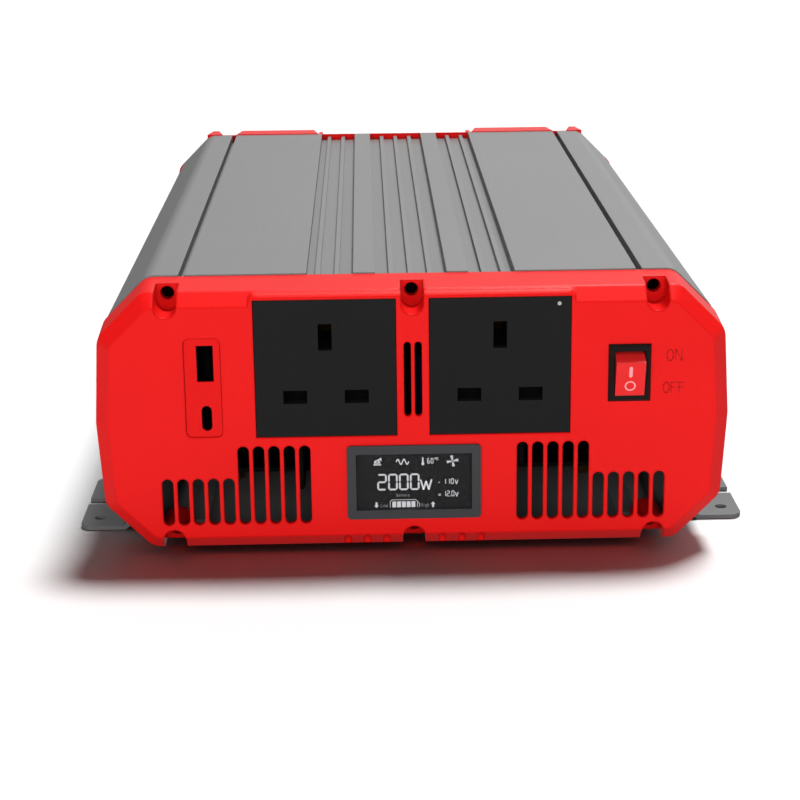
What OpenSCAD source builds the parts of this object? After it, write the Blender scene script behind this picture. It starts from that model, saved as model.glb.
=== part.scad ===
// Power inverter: finned aluminium case between two moulded end bezels, with two BS 1363 outlets,
// a USB panel, a load display and a rocker switch in front, two fans and a terminal bay behind.
// Millimetres. +X is right as seen from the front, +Y runs to the back, +Z is up.
// Origin: centre of the mounting-hole pattern, on the surface the feet stand on.

/* [Case] */
// Length of the extrusions between the two bezels
body_len = 327; // [260:1:400]
// Depth of each end bezel
bezel_d = 21.5; // [19:0.5:26]
// Height of the top panel above the floor
top_z = 102.2; // [101:0.2:120]
// Height of the underside of the case above the floor
case_z = 3.2; // [3.2:0.1:5]
// Half width of the case at the top and bottom corners
corner_x = 96.6; // [96:0.2:104]
// Half width of the extrusions where the chamfers end
flank_x = 111.7; // [108:0.1:120]
// Extra half width at the middle of the flank
flank_bulge = 1.9; // [0:0.1:3]
// Wall of the side rails
rail_wall = 3.4; // [3:0.1:5]
// Wall of the top panel and base plate
sheet_wall = 2.2; // [1.8:0.1:3]

/* [Top panel] */
// Half width of the top panel
panel_x = 82.7; // [80:0.1:83.5]
// Width of the dark joint beside the top panel
panel_gap = 2.2; // [1:0.1:3]
// Inner edge of the wide flat plate
plate_in = 40.2; // [36:0.1:46]
// Depth of the ribbed channels
channel_d = 3.0; // [2:0.1:4]
// Inner edge of the flat strip
strip_in = 13.2; // [12:0.1:15]
// Width of the flat strip
strip_w = 7.9; // [6:0.1:9]
// Width of a rib
rib_w = 1.9; // [1:0.1:3]
// Height of a rib
rib_h = 1.7; // [0.8:0.1:2.4]
// Distance between ribs
rib_pitch = 7.1; // [6:0.1:7.2]

/* [Bezels] */
// Wall of a bezel
bezel_wall = 2.5; // [2:0.1:3.5]
// Bevel between the face and the side of a bezel
bevel = 5; // [3:0.5:6]
// How far a bezel stands out from the extrusions at the side
bezel_lip = 1.7; // [0.5:0.1:3]
// Fall of a bezel's top and chamfers towards its face
draft = 2.2; // [0:0.1:2.6]
// Distance of the outer screws from the middle
screw_x = 88.2; // [87.9:0.1:89]
// Depth of a screw recess from the face
recess_d = 13.8; // [10:0.1:14]
// Half width of a screw recess
recess_r = 4.15; // [3.8:0.05:4.5]
// Radius of the rounded edge between the top and the chamfers
corner_r = 7; // [4:0.5:9]
// How far a bezel's top lies below the extrusions where they meet
rim_drop = 0.5; // [0.2:0.1:0.8]

/* [Vents] */
// Distance of the outermost slot from the middle
vent_x = 89.9; // [88:0.1:92]
// Distance between slots
vent_pitch = 5.58; // [5.3:0.02:5.7]
// Width of a slot
vent_w = 4.2; // [3:0.1:4.4]
// Lower end of the slots
vent_z = 12.9; // [12.6:0.1:15]
// Upper end of the short slots
vent_short_z = 30.9; // [24:0.1:34]
// Upper end of the tall slots
vent_tall_z = 43.0; // [36:0.1:45]

/* [Outlets] */
// Side of the square outlet module
outlet_w = 50.8; // [49:0.1:52]
// Space between the two outlets
outlet_gap = 12.1; // [12:0.1:14]
// Height of the outlet's centre
outlet_z = 71.75; // [70.5:0.05:73]
// Distance of the line and neutral openings from the outlet's centre line
pin_x = 11.1; // [11.1:0.1:11.3]
// Height of the earth opening above the line and neutral openings
earth_rise = 22.2; // [22:0.1:22.4]
// Height of the line and neutral openings above the outlet's lower edge
pin_z = 14.85; // [14:0.05:16]
// Long side of a line or neutral opening
blade_l = 8.6; // [7.2:0.1:9]
// Short side of every opening
blade_t = 4.9; // [4.5:0.1:5.2]
// Long side of the earth opening
earth_l = 9.8; // [8.8:0.1:10.2]
// Travel of the shutter
shutter_travel = 5.4; // [5:0.1:5.6]

/* [Switch] */
// Centre of the rocker switch from the middle
switch_x = 78.2; // [77.5:0.1:80]
// Height of the switch's centre
switch_z = 68.6; // [66:0.1:70]
// Width of the switch's frame
switch_w = 15.4; // [15:0.1:16]
// Height of the switch's frame
switch_h = 21.4; // [21:0.1:22]
// Tilt of the rocker to each side
rocker_tilt = 15.5; // [12:0.5:16]

/* [Display] */
// Half width of the display frame
display_x = 24.45; // [23:0.05:25]
// Lower edge of the display frame
display_z = 14.4; // [14:0.1:15]
// Height of the display frame
display_h = 28.2; // [27.5:0.1:28.6]

/* [USB panel] */
// Centre of the USB panel from the middle
usb_x = 75.6; // [75:0.1:77]
// Lower edge of the USB panel
usb_z = 46.7; // [46:0.1:48]
// Width of the USB panel
usb_w = 13.2; // [12.5:0.1:14]
// Height of the USB panel
usb_h = 36.9; // [36:0.1:38]

/* [Feet] */
// Distance of the feet's outer edges from the middle
foot_x = 127.6; // [126:0.2:134]
// Length of a foot
foot_len = 58; // [50:1:70]
// Thickness of a foot
foot_t = 1.6; // [1.2:0.1:1.6]
// Distance from the end of the extrusions to a foot
foot_inset = 10.8; // [8:0.2:20]
// Radius of a mounting hole
foot_hole_r = 2.25; // [1.6:0.05:2.5]
// Distance of a mounting hole from the foot's outer edge
foot_hole_in = 6.7; // [6:0.1:8]
// Distance between a foot's two mounting holes
foot_hole_pitch = 38.6; // [30:0.2:42]
// Width of the open slot in a foot
foot_slot_w = 6.5; // [5:0.1:8]

/* [Fans] */
// Side of a fan
fan_w = 60; // [60:1:61]
// Depth of a fan
fan_d = 25; // [20:1:26]
// Distance of the fans' centres from the middle
fan_x = 71.6; // [71.4:0.1:73]
// Height of the fans' centres
fan_z = 51; // [49:0.5:54]
// Thinnest rim round a fan's bore
fan_rim = 1.6; // [1.2:0.1:3]

/* [Terminals] */
// Half width of the terminal bay
bay_x = 38; // [36:0.5:38.5]
// Height of the terminal bay's floor
bay_z = 20; // [16:0.5:24]
// Distance of each terminal from the middle
post_x = 18.5; // [17.5:0.5:20]
// Height of the terminals
post_z = 62; // [58:0.5:66]
// Radius of a terminal's stud
stud_r = 4; // [3:0.5:4]
// Radius of a terminal's knob
knob_r = 10.5; // [9:0.5:12]
// Length of a terminal's knob
knob_len = 14; // [12:0.5:18]

/* [Hidden] */
$fn = 48;
slip = 0.05;               // clearance of a running fit
fit_gap = 0.2;             // clearance round a seated piece
eps = 0.01;                // thin slabs that hulls stretch between
past = 1;                  // how far a cut runs past the surface it opens

body_y = body_len / 2;     // the extrusions run from -body_y to body_y
face_y = body_y + bezel_d; // distance of both faces from the origin
widest_drop = 1.3;         // the flank is widest this far below half height
flank_z = (top_z + case_z) / 2 - widest_drop;
chamfer = flank_x - corner_x;
rail_step = 4;             // height of the rebate that the top panel drops into
channel_z = top_z - channel_d;

screw_r = 1.5;
screw_head_r = 2.3;
screw_head_h = 2;
screw_len = 16;
screw_seat = 5.2;          // depth of the counterbore that hides a screw's head
boss_r = 3.2;
screw_top_z = top_z - 4.7;
screw_low_z = case_z + 4;
screw_spots = [for (x = [-screw_x, 0, screw_x], z = [screw_low_z, screw_top_z]) [x, z]];
recess_wall = 1.8;         // wall round a screw recess
centre_vent_x = 1.95;      // the two slots between the outlets
centre_vent_w = 2.65;
centre_vent_z = [53.4, 81.3];

outlet_x = (outlet_w + outlet_gap) / 2;
outlet_low = outlet_z - outlet_w / 2;
line_z = outlet_low + pin_z;
earth_z = line_z + earth_rise;
outlet_plate = 4.6;        // front plate of an outlet module
shutter_t = 2.2;
shutter_h = blade_t + 1.6;
outlet_deep = 26;          // depth of an outlet module behind the face
outlet_sink = 0.3;         // the outlet's plate lies this far behind the face
outlet_y = -face_y + outlet_sink;
clip_y = outlet_y + outlet_plate + shutter_t + 1; // front ends of the contacts
line_clip = 11;
earth_clip = 15.8;
tail_end = 22;             // length of a contact with its tail
led_in = [4.2, 2.6];       // the lamp's centre from the outlet's upper right corner
led_r = 0.7;

foot_y = body_y - foot_inset - foot_len / 2;
foot_hole_x = foot_x - foot_hole_in;
foot_in = 84;              // inner edge of a foot under the case
joggle_x = flank_x - 1.5;
foot_screw_x = 93.4;
foot_screw_gap = 36;
foot_screw_r = 1.7;

post_z0 = case_z + sheet_wall; // the base plate's upper side
board_z = 11;
board_t = 1.6;
board_top = board_z + board_t;
board_x = 78;
board_y0 = -body_y + 45.5;
board_y1 = body_y - 31.5;
lead_r = 1.4;              // radius of an outlet lead

wall_y = face_y - recess_d - screw_seat; // back of the terminal bay's wall
bay_wall = 2;
base_h = 7;                // height of a terminal base from the bay's wall
washer_t = 1.4;
knob_y = wall_y + 11;      // front end of a knob
stud_tip = 4.5;            // how far a stud reaches past its knob
stud_groove = 1.2;         // relief groove in the stud at the knob's outer face
earth_post_z = bay_z + 14;

pivot_back = 2.9;          // the rocker's pivot lies this far behind the face
pivot_y = -face_y + pivot_back;
rocker_face = 6.5;         // flat face of the rocker from its pivot
rocker_half = 6.75;        // half height of that face
rocker_w = 10.6;
rocker_room = 8.25;        // half height of the housing's window
trunnion_r = 1.2;
switch_lip = 1.6;
switch_back = 17;          // depth of the housing's body behind the face

display_lip = 0.9;
window_x = display_x - 3.3;
window_z = display_z + 3.4;
window_h = display_h - 6.7;

usb_mid = -usb_x + 1;      // centre of the two ports
usb_a_z = 74.25;
usb_c_z = 53.8;

fan_bore_r = fan_w / 2 - fan_rim;
fan_hole = fan_w / 2 - 5;  // distance of a fan's screw from its centre lines
fan_hole_r = 2.1;
fan_y0 = face_y - bezel_wall - fan_d;
fan_holes = [for (x = [-fan_hole, fan_hole], z = [-fan_hole, fan_hole]) [x, z]];
motor_r = 13.5;

red = [0.8, 0.06, 0.05];
case_grey = [0.43, 0.43, 0.44];
black = [0.05, 0.05, 0.05];
zinc = [0.72, 0.72, 0.73];
brass = [0.8, 0.62, 0.28];
board_tint = [0.04, 0.07, 0.06];

// ---- helpers -------------------------------------------------------------------------------

// An X-Z outline carried along Y from y0 over a length.
module along_y(y0, len) {
    translate([0, y0 + len, 0]) rotate([90, 0, 0]) linear_extrude(len) children();
}

// A round bar along Y from y0 over a length, at (x, z).
module rod_y(x, z, y0, len, r) {
    translate([x, y0, z]) rotate([-90, 0, 0]) cylinder(h = len, r = r);
}

// A block given by its lowest corner and size.
module block(x0, y0, z0, w, d, h) {
    translate([x0, y0, z0]) cube([w, d, h]);
}

// A block centred on x, with its lowest y and z given.
module block_mid(x, y0, z0, w, d, h) {
    block(x - w / 2, y0, z0, w, d, h);
}

// A slot outline with round ends, standing upright between two heights.
module upright_slot(x, w, z0, z1) {
    translate([x - w / 2, z0 + w / 2]) square([w, z1 - z0 - w]);
    for (z = [z0 + w / 2, z1 - w / 2]) translate([x, z]) circle(w / 2);
}

// A rectangle with round corners.
module round_rect(x0, z0, w, h, r) {
    translate([x0 + r, z0]) square([w - 2 * r, h]);
    translate([x0, z0 + r]) square([w, h - 2 * r]);
    for (x = [x0 + r, x0 + w - r], z = [z0 + r, z0 + h - r]) translate([x, z]) circle(r);
}

// Left or front copies have side -1.
module mirror_x(side) {
    if (side < 0) mirror([1, 0, 0]) children();
    else children();
}

module mirror_y(side) {
    if (side < 0) mirror([0, 1, 0]) children();
    else children();
}

// Turns the children about an axis along Y through (x, z).
module rotate_about(x, z, a) {
    translate([x, 0, z]) rotate([0, a, 0]) translate([-x, 0, -z]) children();
}

// The case's outline: chamfered corners and flanks that are widest half way up.
// grow widens the flanks, fall lowers the top and its chamfers, inset shrinks the whole.
module case_outline(grow, fall, inset, round_r) {
    top = top_z - fall;
    side = flank_x + grow;
    half = [
        [corner_x, case_z],
        [side, case_z + chamfer + grow],
        [side + flank_bulge, flank_z],
        [side, top - chamfer - grow],
        [corner_x, top]];
    offset(r = round_r) offset(delta = -inset - round_r)
        polygon(concat(half, [for (i = [4:-1:0]) [-half[i][0], half[i][1]]]));
}

// ---- extrusions ----------------------------------------------------------------------------

module top_panel_profile() {
    leg_w = 2.4;
    bridge_w = 2;        // upright between the plate and the channel's floor
    last_rib = plate_in - 6;
    floor_z = channel_z - sheet_wall;
    for (s = [-1, 1]) scale([s, 1]) {
        translate([plate_in - bridge_w, top_z - sheet_wall])
            square([panel_x - plate_in + bridge_w, sheet_wall]);
        translate([plate_in - bridge_w, floor_z]) square([bridge_w, channel_d + sheet_wall]);
        translate([panel_x - leg_w, top_z - rail_step]) square([leg_w, rail_step]);
        translate([strip_in, floor_z]) square([strip_w, channel_d + sheet_wall]);
        for (x = [rib_pitch, last_rib - rib_pitch, last_rib]) rib(x);
    }
    rib(0);
    translate([1 - plate_in, floor_z]) square([2 * plate_in - 2, sheet_wall]);
    intersection() {
        translate([0, screw_top_z]) circle(boss_r);
        translate([-boss_r, screw_top_z - boss_r])
            square([2 * boss_r, channel_z - screw_top_z + boss_r]);
    }
}

// One rib of the top panel, rooted in the channel's floor.
module rib(x) {
    root = 1;
    translate([x - rib_w / 2, channel_z - root]) square([rib_w, rib_h + root]);
}

module top_panel() {
    color(case_grey) difference() {
        along_y(-body_y, body_len) top_panel_profile();
        rod_y(0, screw_top_z, -body_y - past, body_len + 2 * past, screw_r);
    }
}

module side_rail_profile() {
    open_x = panel_x + panel_gap;
    ledge_w = 7.5;       // ledges under the top panel and on the base plate
    ledge_t = 2;
    groove_pitch = 6.2;
    groove_w = 2.8;
    groove_d = 1.4;
    difference() {
        intersection() {
            case_outline(0, 0, 0, corner_r);
            translate([open_x, 0]) square([flank_x, top_z + past]);
        }
        difference() {
            case_outline(0, 0, rail_wall, corner_r - rail_wall);
            for (z = [screw_top_z, screw_low_z]) translate([screw_x, z]) circle(boss_r);
        }
        // grooves along the flank, shallower away from its middle
        for (i = [-4:4]) if (i != 0)
            translate([flank_x + flank_bulge - groove_d - abs(i) * flank_bulge / 6,
                flank_z + i * groove_pitch - groove_w / 2])
                square([groove_d + flank_bulge, groove_w]);
    }
    for (z = [top_z - rail_step - ledge_t, post_z0])
        translate([open_x - ledge_w, z]) square([ledge_w + 1, ledge_t]);
}

module side_rail(side) {
    tap_depth = 3.2;
    color(case_grey) difference() {
        mirror_x(side) along_y(-body_y, body_len) side_rail_profile();
        for (z = [screw_top_z, screw_low_z])
            rod_y(side * screw_x, z, -body_y - past, body_len + 2 * past, screw_r);
        for (e = [-1, 1], y = [-1, 1])
            translate([side * foot_screw_x, e * foot_y + y * foot_screw_gap / 2, case_z - past])
                cylinder(h = tap_depth + past, r = foot_screw_r + slip);
    }
}

module base_plate() {
    half_w = panel_x + panel_gap - fit_gap;
    color(case_grey) difference() {
        along_y(-body_y, body_len) union() {
            translate([-half_w, case_z]) square([2 * half_w, sheet_wall]);
            translate([0, screw_low_z]) circle(boss_r);
        }
        rod_y(0, screw_low_z, -body_y - past, body_len + 2 * past, screw_r);
    }
}

// ---- bezels --------------------------------------------------------------------------------

// The solid shape of a bezel, for the front: face at -face_y, rim at -body_y.
// fall lowers the top at the face, drop lowers it at the rim.
module bezel_solid(fall, drop) {
    hull() {
        along_y(-face_y, eps) case_outline(bezel_lip, fall, bevel, corner_r - 2);
        along_y(-face_y + bevel, eps) case_outline(bezel_lip, fall, 0, corner_r);
        along_y(-body_y - eps, eps) case_outline(bezel_lip, drop, 0, corner_r);
    }
}

module bezel_hollow(fall, drop) {
    hull() {
        along_y(-face_y + bezel_wall, eps)
            case_outline(bezel_lip, fall, bevel + 1, corner_r - 3);
        along_y(-face_y + bevel + 1, eps)
            case_outline(bezel_lip, fall, bezel_wall, corner_r - bezel_wall);
        along_y(-body_y, eps) case_outline(bezel_lip, drop, bezel_wall, corner_r - bezel_wall);
    }
}

// The outline of a screw recess, open upwards (up = 1) or downwards (up = -1).
module recess_outline(x, r, up) {
    below = 2.1;         // the recess's round end lies this far below the upper screws
    reach = 20;
    z = up > 0 ? screw_top_z - below : screw_low_z - fit_gap;
    translate([x, z]) circle(r);
    translate([x - r, up > 0 ? z : z - reach]) square([2 * r, reach]);
}

module recess_walls(drop) {
    intersection() {
        bezel_solid(draft, drop);
        along_y(-face_y + 1, bezel_d - 1) for (x = [-screw_x, 0, screw_x], up = [-1, 1])
            recess_outline(x, recess_r + recess_wall, up);
    }
}

module recess_cuts() {
    along_y(-face_y - past, recess_d + past) for (x = [-screw_x, 0, screw_x], up = [-1, 1])
        recess_outline(x, recess_r, up);
    for (p = screw_spots) {
        rod_y(p[0], p[1], -face_y + recess_d - past, screw_seat + past, screw_head_r + fit_gap);
        rod_y(p[0], p[1], -face_y + recess_d, bezel_d, screw_r + fit_gap);
    }
}

// The outline cut out of the front bezel for the ventilation slots.
module vent_outline() {
    for (s = [-1, 1]) {
        upright_slot(s * centre_vent_x, centre_vent_w, centre_vent_z[0], centre_vent_z[1]);
        for (i = [0:9])
            upright_slot(s * (vent_x - i * vent_pitch), vent_w, vent_z,
                i < 5 ? vent_short_z : vent_tall_z);
    }
}

module front_face_cuts() {
    seat = 1;            // the switch's flange overlaps the face by this much
    display_seat = 1.5;
    usb_seat = 1.6;
    usb_rebate = 1.3;
    drain_x = 10.3;
    drain_pitch = 7.15;
    drain_w = 2.6;
    drain_h = 4.9;
    along_y(-face_y - past, bezel_d) for (s = [-1, 1])
        translate([s * outlet_x - outlet_w / 2 - fit_gap, outlet_low - fit_gap])
            square(outlet_w + 2 * fit_gap);
    along_y(-face_y - past, bezel_wall + 2 * past) {
        vent_outline();
        translate([switch_x - switch_w / 2 + seat, switch_z - switch_h / 2 + seat])
            square([switch_w - 2 * seat, switch_h - 2 * seat]);
        translate([-display_x + display_seat, display_z + display_seat])
            square([2 * (display_x - display_seat), display_h - 2 * display_seat]);
        round_rect(-usb_x - usb_w / 2 + usb_seat, usb_z + usb_seat,
            usb_w - 2 * usb_seat, usb_h - 2 * usb_seat, usb_seat - fit_gap);
    }
    along_y(-face_y - past, usb_rebate + past)
        round_rect(-usb_x - usb_w / 2, usb_z, usb_w, usb_h, 2 + fit_gap);
    along_y(-face_y - past, bevel + past) for (s = [-1, 1], i = [0:2])
        upright_slot(s * (drain_x + drain_pitch * i), drain_w, -case_z, case_z + drain_h);
}

// The flush pad round the outlets, with a rounded upper edge.
module outlet_pad(half_w, upper_z) {
    round_r = 2;
    edge = 1.4;          // depth of the rounding at the face
    hull() {
        block(-half_w, -face_y, outlet_low, 2 * half_w, bevel, outlet_w);
        for (s = [-1, 1]) {
            rod_y(s * (half_w - round_r), upper_z - round_r, -face_y + edge, bevel, round_r);
            rod_y(s * (half_w - round_r - 1.2), upper_z - round_r - 1.2, -face_y, bevel, round_r);
        }
    }
}

// Keeps the wall thin behind the outlet pad, below the top wall.
module pad_hollow(half_w, upper_z) {
    below = 4;
    difference() {
        block(bezel_wall - half_w, -face_y + bezel_wall, outlet_low - below,
            2 * (half_w - bezel_wall), below, upper_z - outlet_low - 2);
        along_y(-face_y, bezel_d) recess_outline(0, recess_r + recess_wall, 1);
    }
}

module front_bezel() {
    rim = 1.6;
    pad_x = outlet_x + outlet_w / 2 + rim;
    pad_z = top_z - draft - 0.6;
    color(red) difference() {
        union() {
            difference() {
                bezel_solid(draft, rim_drop);
                bezel_hollow(draft, rim_drop);
            }
            recess_walls(rim_drop);
            outlet_pad(pad_x, pad_z);
        }
        pad_hollow(pad_x, pad_z);
        recess_cuts();
        front_face_cuts();
    }
}

// A low flat land on top of the rear bezel, behind a plate that spans x0 to x1.
module top_land(x0, x1) {
    land_d = 12.5;
    end_slant = 2.4;
    land_h = 0.4;        // height above the panels
    root = 3.2;
    translate([0, body_y, top_z - root]) linear_extrude(root + land_h)
        polygon([[x0, 0], [x1, 0], [x1 - end_slant, land_d], [x0 + end_slant, land_d]]);
}

// The walls of the open-topped terminal bay.
module bay_walls() {
    low_z = bay_z - bay_wall;
    block_mid(0, body_y, low_z, 2 * (bay_x + bay_wall), bezel_d - 1, bay_wall);
    for (s = [-1, 1])
        block_mid(s * (bay_x + bay_wall / 2), body_y, low_z, bay_wall, bezel_d - 1, top_z - bay_z);
    block_mid(0, body_y, bay_z - 1, 2 * bay_x, wall_y - body_y, top_z - bay_z + 0.6);
}

// Raised polarity marks above the terminals.
module polarity_marks() {
    size = 7;
    bar = 1.6;
    mark_h = 0.7;
    mark_z = post_z + 21.8;
    for (s = [-1, 1])
        block_mid(s * post_x, wall_y - 0.1, mark_z - bar / 2, size, mark_h + 0.1, bar);
    block_mid(post_x, wall_y - 0.1, mark_z - size / 2, bar, mark_h + 0.1, size);
}

module rear_bezel() {
    corner_land_x = 90;
    screw_way = 2.1;
    color(red) difference() {
        union() {
            mirror([0, 1, 0]) {
                difference() {
                    bezel_solid(draft, 0);
                    bezel_hollow(draft, 0);
                }
                recess_walls(0);
            }
            bay_walls();
            for (s = [-1, 1]) scale([s, 1, 1]) {
                top_land(plate_in, panel_x);
                top_land(corner_land_x, corner_x + 1.4);
            }
        }
        mirror([0, 1, 0]) recess_cuts();
        block_mid(0, wall_y, bay_z, 2 * bay_x, bezel_d, top_z - bay_z + 5);
        for (s = [-1, 1]) {
            rod_y(s * fan_x, fan_z, body_y, bezel_d + past, fan_bore_r + 2 * fit_gap);
            for (p = fan_holes)
                rod_y(s * fan_x + p[0], fan_z + p[1], body_y, bezel_d + past, screw_way);
            rod_y(s * post_x, post_z, body_y - past, wall_y - body_y + 2 * past, spigot_r + fit_gap);
        }
        rod_y(0, earth_post_z, body_y - past, wall_y - body_y + 2 * past, earth_r + slip);
    }
    color(red) polarity_marks();
}

// ---- fasteners -----------------------------------------------------------------------------

// A cross-recessed pan-head screw along +Y, with the underside of its head at y0.
module pan_screw_y(x, z, y0, len, r, head_r, head_h) {
    slot_w = 0.6;
    slot_d = 1;
    difference() {
        union() {
            rod_y(x, z, y0, len, r);
            rod_y(x, z, y0 - head_h, head_h, head_r);
        }
        translate([x, y0 - head_h + slot_d / 2 - eps, z]) for (a = [0, 90]) rotate([0, a, 0])
            cube([head_r * 1.3, slot_d, slot_w], center = true);
    }
}

module bezel_screws(end) {
    seat_y = -face_y + recess_d + screw_seat;
    color([0.1, 0.1, 0.1]) mirror_y(-end) for (p = screw_spots)
        pan_screw_y(p[0], p[1], seat_y, screw_len, screw_r - slip, screw_head_r, screw_head_h);
}

module foot_screws() {
    head_z = 0.5;
    head_r = 3.2;
    shank_up = 2.4;      // how far a shank enters the rail
    color(zinc) for (sx = [-1, 1], sy = [-1, 1], k = [-1, 1])
        translate([sx * foot_screw_x, sy * foot_y + k * foot_screw_gap / 2, head_z]) {
            cylinder(h = case_z - foot_t - head_z, r = head_r);
            cylinder(h = case_z - head_z + shank_up, r = foot_screw_r);
        }
}

// ---- feet ----------------------------------------------------------------------------------

// The foot's section: its outer part stands on the floor, its inner part lies under the case.
module foot_section() {
    bend = 2;            // length of the joggle's slope
    shift = 1;
    polygon([
        [foot_in, case_z - foot_t], [joggle_x - bend, case_z - foot_t],
        [joggle_x, 0], [foot_x, 0], [foot_x, foot_t], [joggle_x + shift, foot_t],
        [joggle_x - shift, case_z], [foot_in, case_z]]);
}

module foot(side, end) {
    r = 4.5;             // outer corners
    tall = 10;
    slot_in = foot_x - 15;
    way = foot_screw_r + fit_gap;
    color(case_grey) mirror_x(side) mirror_y(end) translate([0, foot_y, 0]) difference() {
        intersection() {
            along_y(-foot_len / 2, foot_len) foot_section();
            union() {
                block(foot_in, -foot_len / 2, 0, foot_x - r - foot_in, foot_len, tall);
                block(foot_in, -foot_len / 2 + r, 0, foot_x - foot_in, foot_len - 2 * r, tall);
                for (y = [-1, 1])
                    translate([foot_x - r, y * (foot_len / 2 - r), 0]) cylinder(h = tall, r = r);
            }
        }
        block(slot_in, -foot_slot_w / 2, -past, foot_x, foot_slot_w, tall);
        translate([slot_in, 0, -past]) cylinder(h = tall, r = foot_slot_w / 2);
        for (y = [-1, 1]) {
            translate([foot_hole_x, y * foot_hole_pitch / 2, -past])
                cylinder(h = tall, r = foot_hole_r);
            translate([foot_screw_x, y * foot_screw_gap / 2, -past]) cylinder(h = tall, r = way);
        }
    }
}

// ---- outlets -------------------------------------------------------------------------------

// The three openings of an outlet, as an outline; grow widens each.
module pin_outline(grow) {
    for (x = [-pin_x, pin_x])
        translate([x - blade_l / 2 - grow, line_z - blade_t / 2 - grow])
            square([blade_l + 2 * grow, blade_t + 2 * grow]);
    translate([-blade_t / 2 - grow, earth_z - earth_l / 2 - grow])
        square([blade_t + 2 * grow, earth_l + 2 * grow]);
}

module outlet(side) {
    plate_t = 4;
    body_in = [2.4, 2];  // the module's body is this much smaller than its plate
    cavity_y = outlet_y + outlet_plate;
    cavity_x = pin_x + blade_l / 2 + 1;
    stem_x = 4.5;
    color([0.03, 0.03, 0.03]) translate([side * outlet_x, 0, 0]) difference() {
        union() {
            along_y(outlet_y, plate_t) translate([-outlet_w / 2, outlet_low]) square(outlet_w);
            along_y(outlet_y, outlet_deep)
                translate([body_in[0] - outlet_w / 2, outlet_low + body_in[1]])
                    square([outlet_w - 2 * body_in[0], outlet_w - 2 * body_in[1]]);
        }
        along_y(outlet_y - past, outlet_plate + 2 * past) pin_outline(0);
        // the shutter's cavity, with room for its travel
        along_y(cavity_y, shutter_t + 2 * fit_gap) union() {
            translate([-cavity_x, line_z - shutter_h / 2 - shutter_travel - fit_gap])
                square([2 * cavity_x, shutter_h + shutter_travel + 2 * fit_gap]);
            translate([-stem_x, line_z]) square([2 * stem_x, earth_rise + 6]);
        }
        along_y(cavity_y, outlet_deep) pin_outline(0.9);
        if (side > 0) rod_y(outlet_w / 2 - led_in[0], outlet_low + outlet_w - led_in[1],
            outlet_y - past, 1.5 + past, led_r + slip);
    }
}

// Slides down behind the line and neutral openings, which it closes at rest.
module outlet_shutter(side) {
    y0 = outlet_y + outlet_plate + fit_gap;
    half_w = pin_x + blade_l / 2 + 0.6;
    stem_w = 8.2;
    stem_gap = 0.3;      // the stem ends this far below the earth opening
    color([0.06, 0.06, 0.06]) translate([side * outlet_x, 0, 0]) along_y(y0, shutter_t) union() {
        translate([-half_w, line_z - shutter_h / 2]) square([2 * half_w, shutter_h]);
        translate([-stem_w / 2, line_z]) square([stem_w, earth_rise - earth_l / 2 - stem_gap]);
    }
}

// Brass spring clips that grip the pins, and their solder tails. The earth clip is the longer.
module outlet_contacts(side) {
    sheet = 0.6;
    grip = blade_t / 2 + 0.15;
    line_w = 7.2;
    earth_w = 8;
    tail_w = 3;
    tail_t = 0.8;
    span = 2 * (grip + sheet);
    color(brass) translate([side * outlet_x, clip_y, 0]) {
        for (x = [-pin_x, pin_x]) {
            for (z = [-grip - sheet, grip]) block_mid(x, 0, line_z + z, line_w, line_clip, sheet);
            block_mid(x, line_clip - sheet, line_z - span / 2, line_w, sheet, span);
            block_mid(x, line_clip - eps, line_z - tail_t / 2, tail_w, tail_end - line_clip, tail_t);
        }
        for (x = [-grip - sheet, grip]) block(x, 0, earth_z - earth_w / 2, sheet, earth_clip, earth_w);
        block_mid(0, earth_clip - sheet, earth_z - earth_w / 2, span, sheet, earth_w);
        block_mid(0, earth_clip - eps, earth_z - tail_w / 2, tail_t, tail_end - earth_clip, tail_w);
    }
}

module outlet_led() {
    color([0.6, 0.62, 0.6]) rod_y(outlet_x + outlet_w / 2 - led_in[0],
        outlet_low + outlet_w - led_in[1], outlet_y, 1.4, led_r);
}

// ---- display -------------------------------------------------------------------------------

module display_frame() {
    body_in = 1.7;
    body_d = 8;
    rebate = 0.6;
    glass_y = -face_y + 0.4;
    color([0.12, 0.12, 0.12]) difference() {
        union() {
            along_y(-face_y - display_lip, display_lip)
                round_rect(-display_x, display_z, 2 * display_x, display_h, 1.5);
            along_y(-face_y, body_d) translate([body_in - display_x, display_z + body_in])
                square([2 * (display_x - body_in), display_h - 2 * body_in]);
        }
        along_y(-face_y - past - display_lip, body_d + 4 * past)
            translate([-window_x, window_z]) square([2 * window_x, window_h]);
        along_y(glass_y, body_d + past) translate([-window_x - rebate, window_z - rebate])
            square([2 * (window_x + rebate), window_h + 2 * rebate]);
    }
}

// A flat sheet behind the display's window: y from the face, thickness, and overlap.
module window_sheet(y, t, over) {
    along_y(-face_y + y, t) translate([-window_x - over, window_z - over])
        square([2 * (window_x + over), window_h + 2 * over]);
}

module display_window() {
    color([0.02, 0.02, 0.02, 0.4]) window_sheet(0.4, 1.2, 0.5);
}

module display_glass() {
    color([0.01, 0.01, 0.01]) window_sheet(1.8, 2, 0.4);
}

module display_board() {
    board_y = 4;
    chip = [7, 1.4, 7];
    color(board_tint) union() {
        window_sheet(board_y, board_t, 0.4);
        for (x = [-10.5, 3.5, 15.5])
            block_mid(x, -face_y + board_y + board_t - 0.1, window_z + 4, chip[0], chip[1], chip[2]);
    }
}

// ---- USB panel -----------------------------------------------------------------------------

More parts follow.
